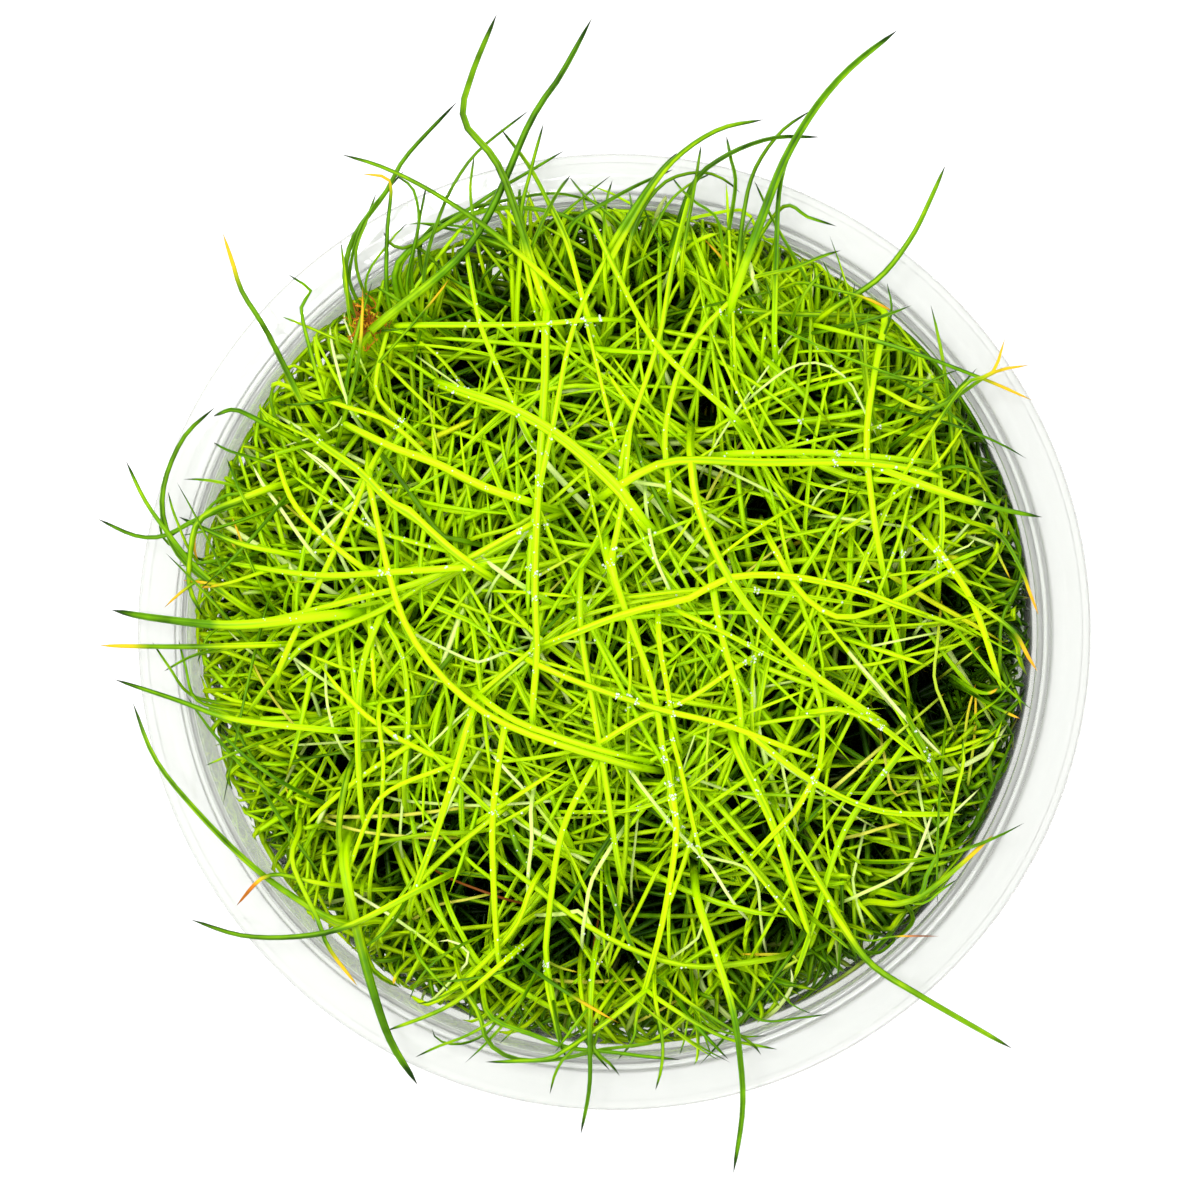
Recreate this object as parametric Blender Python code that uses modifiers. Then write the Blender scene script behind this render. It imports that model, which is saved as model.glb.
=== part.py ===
"""Dwarf hairgrass in vitro cup: a clear flanged cup, a disc of nutrient gel and seven tufts of grass.

Metres, +Z up. The origin is the centre of the cup's flat underside.
"""

import math

import bmesh
import bpy
from mathutils import Vector

MM = 0.001

# Cup, thin clear plastic, all in millimetres
CUP_HEIGHT = 58.0
FLANGE_RADIUS = 48.0
FLANGE_TOP = 56.6
FLANGE_THICK = 0.9
FLANGE_EDGE = 0.4
LIP_BOTTOM = 54.2
BEAD_RADIUS = 44.1
BEAD_ROUND = 0.65
COLLAR_RADIUS = 43.6
SHOULDER_HEIGHT = 48.2
SHOULDER_STEP = 1.2
BASE_RADIUS = 38.9
WALL = 0.9
FOOT_ROUND = 2.5
CUP_STEPS = 42

# Nutrient gel poured in the cup's bottom
GEL_BOTTOM = 1.2
GEL_TOP = 9.3
FIT_GAP = 0.3
GEL_STEPS = 40

# Grass: the tufts stand on the gel, side by side
TUFT_FOOT = GEL_TOP + FIT_GAP
CENTRE_TUFT_RADIUS = 14.0
TUFT_GAP = 0.6
GRASS_RADIUS = 38.6
GRASS_LEAN = 1.4
SIDE_TUFTS = 6
SIDE_TUFT_TURN = 12.0
TUFT_CROWNS = {
    "tuft_centre": 62.0,
    "tuft_east": 59.5,
    "tuft_north_east": 60.5,
    "tuft_north_west": 61.0,
    "tuft_west": 59.0,
    "tuft_south_west": 58.5,
    "tuft_south_east": 58.0,
}
RIDGES = 10
RIDGE_DEPTH = 0.7
EDGE_DROP = 1.6
CORNER_ROUND = 1.0
WAIST_HEIGHT = 46.0

# A lock is a tapered blade, or a few lying together, that ends in a fine point
LOCK_RADIUS = 0.9
BLADE_RADIUS = 0.6
TIP_RADIUS = 0.1
ROOT_DEPTH = 8.0
SHORT_LOCKS = 5
SHORT_REACH = 14.0
SHORT_BACK = 4.5
SHORT_ASIDE = 2.4
SHORT_ARCH = 11.0
LOCK_SEGMENTS = 5
BLADE_SEGMENTS = 8
GOLDEN_ANGLE = math.radians(137.5)
FIRST_TURN = 0.1
TURN_STEP = 0.5

# Long blades over the rim or across the top, by tuft. Each has the place where it leaves the
# tuft (x, y), its tip (x, y, z), how far it bows to its left, and how high it arches.
LONG_BLADES = {
    "tuft_centre": [
        ((-7.0, 7.0), (-27.9, 24.7, 65.5), -2.0, 4.0),
        ((6.0, 8.0), (36.2, 15.2, 65.0), -3.0, 5.0),
        ((-2.0, -8.0), (-7.6, -34.0, 64.0), 3.0, 4.5),
        ((-9.0, -2.0), (-37.8, 1.2, 65.0), 3.0, 4.5),
        ((4.0, 2.0), (24.0, -24.0, 64.0), -3.0, 5.0),
        ((1.0, 9.0), (3.5, 39.0, 65.0), 2.0, 4.0),
        ((-4.0, -4.0), (-23.0, -27.0, 63.5), -2.0, 5.0),
    ],
    "tuft_east": [
        ((27.0, 14.0), (43.2, 11.4, 60.0), -2.0, 3.5),
        ((29.0, 4.0), (42.7, -3.3, 59.8), -3.0, 3.0),
        ((28.0, 18.0), (41.9, 26.0, 63.0), 4.0, 3.0),
        ((25.0, -4.0), (11.0, -29.0, 63.5), 2.0, 3.5),
    ],
    "tuft_north_east": [
        ((12.0, 32.0), (28.9, 59.9, 60.5), -4.0, 5.0),
        ((20.0, 26.0), (33.6, 46.4, 60.0), -2.0, 4.0),
        ((23.0, 25.0), (41.8, 26.5, 59.8), 3.0, 3.0),
        ((16.0, 30.0), (15.6, 51.1, 60.2), 2.0, 3.5),
        ((11.0, 24.0), (34.0, 8.0, 64.0), 4.0, 3.5),
    ],
    "tuft_north_west": [
        ((-10.0, 33.0), (-11.2, 62.0, 60.6), 5.0, 5.5),
        ((-20.0, 28.0), (-1.6, 61.5, 63.6), 4.0, 5.0),
        ((-24.0, 26.0), (-15.2, 53.2, 60.0), 3.0, 4.0),
        ((-9.0, 28.0), (-27.0, 48.0, 64.0), -2.0, 4.0),
        ((-26.0, 18.0), (-39.0, 40.2, 61.0), -3.0, 4.5),
    ],
    "tuft_west": [
        ((-26.0, 4.0), (-51.8, -1.4, 59.6), 1.0, 5.0),
        ((-30.0, 8.0), (-48.9, 17.3, 59.8), -5.0, 4.0),
        ((-26.0, -3.0), (-50.1, -4.8, 59.9), -2.0, 5.5),
        ((-27.0, -10.0), (-47.0, -19.0, 60.4), 2.0, 3.5),
        ((-22.0, -6.0), (-7.0, -27.0, 63.5), -3.0, 3.5),
    ],
    "tuft_south_west": [
        ((-19.0, -24.0), (-48.2, -7.1, 61.6), -6.0, 5.5),
        ((-22.0, -26.0), (-42.3, -29.0, 60.2), 3.0, 4.0),
        ((-18.0, -30.0), (-19.2, -45.5, 60.0), -2.0, 3.0),
        ((-1.0, -33.0), (-2.8, -50.3, 60.0), -1.0, 3.5),
    ],
    "tuft_south_east": [
        ((10.0, -29.0), (12.5, -54.0, 60.6), 3.0, 4.5),
        ((22.0, -26.0), (40.2, -40.8, 60.2), -2.0, 4.0),
        ((10.0, -34.0), (4.7, -45.8, 60.0), 1.5, 3.0),
        ((25.0, -25.0), (38.3, -20.1, 60.0), -3.0, 3.5),
        ((16.0, -21.0), (33.0, -1.0, 63.5), -2.0, 3.0),
    ],
}


def collection(name):
    made = bpy.data.collections.new(name)
    bpy.context.scene.collection.children.link(made)
    return made


def material(name, colour, roughness, metallic=0.0, alpha=1.0):
    made = bpy.data.materials.new(name)
    made.use_nodes = True
    shader = made.node_tree.nodes["Principled BSDF"]
    shader.inputs["Base Color"].default_value = (*colour, 1.0)
    shader.inputs["Roughness"].default_value = roughness
    shader.inputs["Metallic"].default_value = metallic
    shader.inputs["Alpha"].default_value = alpha
    return made


def object_from(name, mesh, home, surface=None):
    made = bpy.data.objects.new(name, mesh)
    home.objects.link(made)
    if surface:
        mesh.materials.append(surface)
    return made


def arc(centre, radius, start, end, points):
    """Points (r, z) on an arc, from one angle in degrees to another."""
    turns = [math.radians(start + (end - start) * i / (points - 1)) for i in range(points)]
    return [(centre[0] + radius * math.cos(a), centre[1] + radius * math.sin(a)) for a in turns]


def turned(name, profile, steps, home, surface):
    """A round body from a profile of (r, z) that runs down outside.

    The profile starts and ends on the axis, or else it is a closed loop clear of it.
    """
    shape = bmesh.new()
    line = [shape.verts.new((r * MM, 0.0, z * MM)) for r, z in profile]
    for above, below in zip(line, line[1:]):
        shape.edges.new((above, below))
    if profile[0][0] > 0.0:
        shape.edges.new((line[-1], line[0]))
    mesh = bpy.data.meshes.new(name)
    shape.to_mesh(mesh)
    shape.free()
    made = object_from(name, mesh, home, surface)
    screw = made.modifiers.new("turn", "SCREW")
    screw.steps = steps
    screw.render_steps = steps
    screw.use_merge_vertices = True
    screw.merge_threshold = 0.00001
    screw.use_smooth_shade = True
    return made


def wall_inside(z):
    """Radius of the cup's inner wall at a height, above its rounded foot."""
    foot = BASE_RADIUS - WALL
    top = COLLAR_RADIUS - WALL - SHOULDER_STEP
    return foot + (top - foot) * (z - FOOT_ROUND) / (SHOULDER_HEIGHT - FOOT_ROUND)


def foot_edge(height, radius):
    """Distance from the axis of the cup's rounded foot, at a height, for an outer or inner radius."""
    return BASE_RADIUS - FOOT_ROUND + math.sqrt(radius**2 - (FOOT_ROUND - height) ** 2)


def cup_foot(home, clear):
    """The flat round floor of the cup, with the lowest part of its rounded edge."""
    profile = [
        (0.0, WALL),
        (foot_edge(WALL, FOOT_ROUND), WALL),
        (foot_edge(0.3 * WALL, FOOT_ROUND), 0.3 * WALL),
        (BASE_RADIUS - FOOT_ROUND, 0.0),
        (0.0, 0.0),
    ]
    return turned("cup_foot", profile, CUP_STEPS, home, clear)


def cup_wall(home, clear):
    """The tapered wall, the shoulder, the straight collar and the rolled bead round the mouth."""
    bead_top = CUP_HEIGHT - BEAD_ROUND
    low = WALL + FIT_GAP
    profile = [
        (foot_edge(low, FOOT_ROUND - WALL), low),
        (wall_inside(FOOT_ROUND), FOOT_ROUND),
        (wall_inside(SHOULDER_HEIGHT), SHOULDER_HEIGHT + 0.4 * SHOULDER_STEP),
        (COLLAR_RADIUS - WALL, SHOULDER_HEIGHT + 1.2 * SHOULDER_STEP),
        (COLLAR_RADIUS - WALL, bead_top),
        (BEAD_RADIUS - 1.85 * BEAD_ROUND, CUP_HEIGHT - 0.4 * BEAD_ROUND),
        *arc((BEAD_RADIUS - BEAD_ROUND, bead_top), BEAD_ROUND, 90.0, 0.0, 3),
        (BEAD_RADIUS, FLANGE_TOP - FLANGE_THICK),
        (COLLAR_RADIUS, FLANGE_TOP - FLANGE_THICK),
        (COLLAR_RADIUS, SHOULDER_HEIGHT + 0.5 * SHOULDER_STEP),
        (COLLAR_RADIUS - SHOULDER_STEP, SHOULDER_HEIGHT - 0.25 * SHOULDER_STEP),
        (BASE_RADIUS, FOOT_ROUND),
        (foot_edge(low, FOOT_ROUND), low),
    ]
    return turned("cup_wall", profile, CUP_STEPS, home, clear)


def cup_flange(home, clear):
    """The flat flange round the bead, with its turned-down lip."""
    inner = BEAD_RADIUS + FIT_GAP
    profile = [
        (inner, FLANGE_TOP - FLANGE_THICK),
        (inner, FLANGE_TOP),
        (FLANGE_RADIUS - FLANGE_EDGE, FLANGE_TOP),
        (FLANGE_RADIUS, FLANGE_TOP - FLANGE_EDGE),
        (FLANGE_RADIUS, LIP_BOTTOM),
        (FLANGE_RADIUS - WALL, LIP_BOTTOM),
        (FLANGE_RADIUS - WALL, FLANGE_TOP - FLANGE_THICK),
    ]
    return turned("cup_flange", profile, CUP_STEPS, home, clear)


def gel(home):
    """A poured disc of pale jelly that fills the cup's rounded foot, with a flat top."""
    low = BASE_RADIUS - FOOT_ROUND - FIT_GAP
    profile = [
        (0.0, GEL_TOP),
        (wall_inside(GEL_TOP) - FIT_GAP, GEL_TOP),
        (wall_inside(FOOT_ROUND) - FIT_GAP, FOOT_ROUND + 0.2),
        (low + WALL, GEL_BOTTOM + 0.4 * WALL),
        (low, GEL_BOTTOM),
        (0.0, GEL_BOTTOM),
    ]
    jelly = material("nutrient gel", (0.83, 0.8, 0.6), 0.25, alpha=0.7)
    return turned("nutrient_gel", profile, GEL_STEPS, home, jelly)


def loft(name, rings, crown, home, surface):
    """A closed body through rings of points, with a flat foot and a fan up to the crown point."""
    shape = bmesh.new()
    loops = [[shape.verts.new(Vector(p) * MM) for p in ring] for ring in rings]
    count = len(loops[0])
    for low, high in zip(loops, loops[1:]):
        for i in range(count):
            j = (i + 1) % count
            shape.faces.new((low[i], low[j], high[j], high[i]))
    shape.faces.new(loops[0][::-1])
    top = shape.verts.new(Vector(crown) * MM)
    for i in range(count):
        shape.faces.new((loops[-1][i], loops[-1][(i + 1) % count], top))
    bmesh.ops.recalc_face_normals(shape, faces=shape.faces)
    mesh = bpy.data.meshes.new(name)
    shape.to_mesh(mesh)
    shape.free()
    mesh.shade_smooth()
    mesh.set_sharp_from_angle(angle=math.radians(50.0))
    return object_from(name, mesh, home, surface)


def grass_reach(angle):
    """How far out the grass stands in a direction. It leans a little towards +X."""
    return GRASS_RADIUS + GRASS_LEAN * math.cos(angle)


def side_cell(index):
    """Outline of one side tuft: a stretch of ring between the centre tuft and the cup's wall."""
    width = math.tau / SIDE_TUFTS
    start = math.radians(SIDE_TUFT_TURN) + (index - 0.5) * width
    inner = CENTRE_TUFT_RADIUS + TUFT_GAP
    points = []
    for radius_of, shares in (
        (grass_reach, (0.1, 0.3, 0.5, 0.7, 0.9)),
        (lambda a: grass_reach(a) - EDGE_DROP, (1.0,)),
        (lambda a: inner + CORNER_ROUND, (1.0,)),
        (lambda a: inner, (0.8, 0.5, 0.2)),
        (lambda a: inner + CORNER_ROUND, (0.0,)),
        (lambda a: grass_reach(a) - EDGE_DROP, (0.0,)),
    ):
        for share in shares:
            angle = start + width * share
            radius = radius_of(angle)
            edge = 0.5 * TUFT_GAP * (1.0 - 2.0 * share)
            x = radius * math.cos(angle) - edge * math.sin(angle)
            y = radius * math.sin(angle) + edge * math.cos(angle)
            points.append(Vector((x, y)))
    return points


def centre_cell():
    """Outline of the centre tuft, round."""
    turns = [math.tau * i / 12 for i in range(12)]
    return [Vector((math.cos(a), math.sin(a))) * CENTRE_TUFT_RADIUS for a in turns]


def ridged(cell):
    """The outline again with an even number of points, every second one drawn in as a furrow."""
    count = 2 * RIDGES
    sides = list(zip(cell, cell[1:] + cell[:1]))
    total = sum((b - a).length for a, b in sides)
    middle = sum(cell, Vector((0.0, 0.0))) / len(cell)
    points = []
    for i in range(count):
        left = total * i / count
        for a, b in sides:
            if left <= (b - a).length:
                break
            left -= (b - a).length
        point = a + (b - a).normalized() * left
        inward = (middle - point).normalized() * RIDGE_DEPTH * (i % 2)
        points.append(point + inward)
    return points, middle


def tuft_rings(cell, crown):
    """Rings of a tuft: ridged sides like bundled blades, and two rows of points around the crown."""
    outline, middle = ridged(cell)
    top = wall_inside(SHOULDER_HEIGHT)
    # height, share of the outline's width, and how high every second point of the ring stands up
    levels = [
        (TUFT_FOOT, 0.93, 0.0),
        (WAIST_HEIGHT, 1.0, 0.0),
        (crown - 8.5, 0.94, 4.5),
        (crown - 7.0, 0.68, 0.0),
        (crown - 4.0, 0.52, 4.0),
        (crown - 4.0, 0.28, 0.0),
    ]
    rings = []
    for z, share, point_height in levels:
        taper = min(1.0, wall_inside(z) / top)
        ring = []
        for i, point in enumerate(outline):
            flat = (middle + (point - middle) * share) * taper
            ring.append((flat.x, flat.y, z + point_height * (1 - i % 2)))
        rings.append(ring)
    return rings, Vector((middle.x, middle.y, crown - 1.0))


def bezier(points, share):
    """A point on the Bezier curve through four control points."""
    a, b, c, d = points
    left = 1.0 - share
    return left**3 * a + 3 * left**2 * share * b + 3 * left * share**2 * c + share**3 * d


def lock(name, points, thick, guides):
    """A tapered four-sided tube along the points, closed at both ends, as a mesh."""
    data = bpy.data.curves.new(name, "CURVE")
    data.dimensions = "3D"
    data.twist_mode = "MINIMUM"
    data.bevel_depth = thick * MM
    data.bevel_resolution = 0
    data.use_fill_caps = True
    line = data.splines.new("POLY")
    line.points.add(len(points) - 1)
    for i, (place, point) in enumerate(zip(points, line.points)):
        share = i / (len(points) - 1)
        point.co = (*(place * MM), 1.0)
        point.radius = max(TIP_RADIUS / thick, (1.0 - share) ** 0.6)
    guide = bpy.data.objects.new(name, data)
    guides.objects.link(guide)
    bpy.context.view_layer.update()
    evaluated = guide.evaluated_get(bpy.context.evaluated_depsgraph_get())
    mesh = bpy.data.meshes.new_from_object(evaluated)
    place = guide.matrix_world.copy()
    bpy.data.objects.remove(guide)
    shape = bmesh.new()
    shape.from_mesh(mesh)
    bmesh.ops.remove_doubles(shape, verts=shape.verts, dist=0.000001)
    bmesh.ops.recalc_face_normals(shape, faces=shape.faces)
    shape.to_mesh(mesh)
    shape.free()
    made = object_from(name, mesh, guides)
    made.matrix_world = place
    made.hide_render = True
    made.display_type = "WIRE"
    return made


def short_lock_points(crown_point, cell, index, offset):
    """A short lock: from one side of the tuft it arches over the middle to the far edge."""
    middle = crown_point.to_2d()
    angle = index * GOLDEN_ANGLE + offset
    way = Vector((math.cos(angle), math.sin(angle)))
    aside = Vector((-way.y, way.x)) * (SHORT_ASIDE * math.sin(2.3 * index + offset))
    ahead = [p - middle for p in cell if (p - middle).normalized().dot(way) > 0.6]
    reach = min(SHORT_REACH, 0.9 * min(p.length for p in ahead))
    start = (middle + aside - way * SHORT_BACK).to_3d()
    start.z = crown_point.z - ROOT_DEPTH
    end = (middle + aside * 0.3 + way * reach).to_3d()
    end.z = crown_point.z - 3.0 + 0.6 * index
    rise = Vector((0, 0, SHORT_ARCH + 0.8 * index))
    controls = [start, start + rise + way.to_3d() * 3.0, start.lerp(end, 0.75) + rise * 0.55, end]
    return [bezier(controls, i / LOCK_SEGMENTS) for i in range(LOCK_SEGMENTS + 1)]


def long_blade_points(foot, tip, bow, arch, crown):
    """A long blade: up out of the tuft, over in one arch, and out to its tip."""
    start = Vector((foot[0], foot[1], crown - ROOT_DEPTH))
    end = Vector(tip)
    run = end - start
    side = Vector((-run.y, run.x, 0.0)).normalized() * bow
    high = max(crown, end.z) + arch - start.z
    first = start + Vector((run.x * 0.2, run.y * 0.2, high))
    second = start + Vector((run.x * 0.65, run.y * 0.65, high)) + side
    controls = [start, first, second, end]
    return [bezier(controls, i / BLADE_SEGMENTS) for i in range(BLADE_SEGMENTS + 1)]


def tuft(name, cell, crown, offset, home, guides, surface):
    """One plant: a bushy body with its short locks and long blades grown on."""
    rings, top = tuft_rings(cell, crown)
    body = loft(name, rings, top, home, surface)
    shapes = [(short_lock_points(top, cell, i, offset), LOCK_RADIUS) for i in range(SHORT_LOCKS)]
    shapes += [(long_blade_points(*row, crown), BLADE_RADIUS) for row in LONG_BLADES[name]]
    for i, (points, thick) in enumerate(shapes):
        grown = lock(f"{name}_lock_{i + 1}", points, thick, guides)
        union = body.modifiers.new(grown.name, "BOOLEAN")
        union.operation = "UNION"
        union.solver = "EXACT"
        union.object = grown
    return body


def main():
    for old in list(bpy.data.objects):
        bpy.data.objects.remove(old)
    home = collection("dwarf_hairgrass_cup")
    guides = collection("locks")
    guides.hide_render = True
    clear = material("clear polypropylene", (0.86, 0.9, 0.89), 0.12, alpha=0.3)
    cup_foot(home, clear)
    cup_wall(home, clear)
    cup_flange(home, clear)
    gel(home)
    grass = material("hairgrass", (0.2, 0.5, 0.01), 0.35)
    for i, (name, crown) in enumerate(TUFT_CROWNS.items()):
        cell = centre_cell() if i == 0 else side_cell(i - 1)
        tuft(name, cell, crown, FIRST_TURN + TURN_STEP * i, home, guides, grass)


main()
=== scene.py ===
"""Looks of the dwarf hairgrass in vitro cup: clear cup, jelly, roots and thousands of fine blades.

Lengths are millimetres until a mesh is made, and metres in every mesh. +Z is up, +Y is the side
where the longest blades reach over the rim.
"""

import math

import bpy
import numpy as np
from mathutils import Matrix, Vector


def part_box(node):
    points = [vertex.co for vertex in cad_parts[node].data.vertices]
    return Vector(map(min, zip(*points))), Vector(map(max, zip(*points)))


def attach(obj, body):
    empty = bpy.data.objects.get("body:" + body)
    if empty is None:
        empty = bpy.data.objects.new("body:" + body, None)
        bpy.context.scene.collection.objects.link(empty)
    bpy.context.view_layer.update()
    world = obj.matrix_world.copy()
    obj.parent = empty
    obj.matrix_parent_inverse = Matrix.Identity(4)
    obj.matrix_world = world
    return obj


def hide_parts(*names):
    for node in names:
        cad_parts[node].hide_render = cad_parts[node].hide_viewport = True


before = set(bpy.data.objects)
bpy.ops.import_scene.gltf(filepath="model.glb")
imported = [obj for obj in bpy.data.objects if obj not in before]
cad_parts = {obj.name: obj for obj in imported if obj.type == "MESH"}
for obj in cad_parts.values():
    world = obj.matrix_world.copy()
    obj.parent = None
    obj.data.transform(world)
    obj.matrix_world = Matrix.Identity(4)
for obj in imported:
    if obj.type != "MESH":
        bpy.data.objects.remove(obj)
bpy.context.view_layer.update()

MM = 0.001
SEED = 4107

# The cup, as moulded
RIM_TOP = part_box("cup_wall")[1].z / MM
FLANGE_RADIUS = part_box("cup_flange")[1].x / MM
WALL = 0.9
FLANGE_TOP = RIM_TOP - 1.4
LIP_BOTTOM = RIM_TOP - 3.8
COLLAR_RADIUS = FLANGE_RADIUS - 4.4
SHOULDER_STEP = 1.2
SHOULDER_HEIGHT = RIM_TOP - 9.8
SHOULDER_RISE = 1.8
BASE_RADIUS = FLANGE_RADIUS - 9.1
FOOT_ROUND = 2.5
CUP_STEPS = 180

# The jelly and what grows in it
JELLY_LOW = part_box("nutrient_gel")[0].z / MM
JELLY_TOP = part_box("nutrient_gel")[1].z / MM
CROWN_HEIGHT = JELLY_TOP + 0.1
GROWTH_RADIUS = 37.4
# Blades bend along the wall from this far before it
PRESS = 1.2
# The top of the tangle is a low dome, which swells over the rim at +Y
DOME_CENTRE = (-0.6, 4.0)
DOME_TOP = 65.2
DOME_DROP = 6.2
NORTH_SWELL = 5.0
# Blades that grow at random keep their tips within this round
TIP_CENTRE = (-0.4, 1.4)
TIP_RADIUS = 43.5
# How many there are of each
SHOOTS = 600
ROOTS = 500
FRINGE_BLADES = 95
DRY_FIBRES = 60
WATER_BEADS = 1500

# The camera stands almost straight above the cup, a little towards +X
LENS = 135.0
SENSOR = 36.0
VIEW_DISTANCE = 450.0
VIEW_TILT = math.radians(5.0)
VIEW_AIM = np.array((-0.85, 3.2, RIM_TOP))
VIEW_FROM = VIEW_AIM + VIEW_DISTANCE * np.array((math.sin(VIEW_TILT), 0.0, math.cos(VIEW_TILT)))

TUFTS = ("east", "north_east", "north_west", "west", "south_west", "south_east")
FIRST_SECTOR = math.radians(-18.0)
CENTRE_RADIUS = 14.3

rng = np.random.default_rng(SEED)


def smooth(x):
    """0 below 0, 1 above 1, and an even turn between."""
    x = np.clip(x, 0.0, 1.0)
    return x * x * (3.0 - 2.0 * x)


def unit(vectors, least=1e-9):
    """Vectors brought to length one."""
    return vectors / (np.linalg.norm(vectors, axis=-1, keepdims=True) + least)


def level_way(start, end):
    """The level direction from one place to another."""
    way = end - start
    way[2] = 0.0
    return way / np.linalg.norm(way)


def lid(x, y):
    """Height of the top of the tangle over a place. It is domed, and swells over the rim at +Y."""
    away = np.hypot(x - DOME_CENTRE[0], y - DOME_CENTRE[1])
    swell = smooth((y - 26.0) / 16.0) * smooth((24.0 - np.abs(x - 2.0)) / 14.0)
    return DOME_TOP - DOME_DROP * (away / 40.0) ** 2.5 + NORTH_SWELL * swell


def wall_outside(z):
    """Radius of the cup's outer wall at a height: a taper that swings out to the straight collar."""
    high = COLLAR_RADIUS - SHOULDER_STEP
    slope = BASE_RADIUS + (high - BASE_RADIUS) * (z - FOOT_ROUND) / (SHOULDER_HEIGHT - FOOT_ROUND)
    turn = smooth((z - SHOULDER_HEIGHT) / SHOULDER_RISE + 0.5)
    return slope * (1.0 - turn) + COLLAR_RADIUS * turn


def wall_inside(z):
    """Radius of the cup's inner wall at a height."""
    return wall_outside(z) - WALL


def keep_inside(points, gap):
    """Points that would leave the cup are pressed back along its wall, below the rim."""
    x, y, z = points[..., 0], points[..., 1], points[..., 2]
    away = np.maximum(np.hypot(x, y), 0.001)
    limit = wall_inside(z) - gap
    soft = limit - PRESS
    pressed = np.where(away > soft, soft + PRESS * np.tanh((away - soft) / PRESS), away)
    free = smooth((z - RIM_TOP - 0.2) / 2.0)
    scale = (pressed * (1.0 - free) + away * free) / away
    return np.stack((x * scale, y * scale, z), axis=-1)


def from_view(u, v, z):
    """The place at height z that the camera sees where it sees (u, v) of the rim's plane."""
    share = (VIEW_FROM[2] - z) / (VIEW_FROM[2] - RIM_TOP)
    x = VIEW_FROM[0] + share * (u - VIEW_FROM[0])
    y = VIEW_FROM[1] + share * (v - VIEW_FROM[1])
    return x, y


def tuft_of(x, y):
    """The index of the tuft that grows at a place: 0 is the middle one, then round from east."""
    turn = (np.arctan2(y, x) - FIRST_SECTOR) % math.tau
    sector = 1 + (turn / (math.tau / len(TUFTS))).astype(int)
    return np.where(np.hypot(x, y) < CENTRE_RADIUS, 0, sector)


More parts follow.
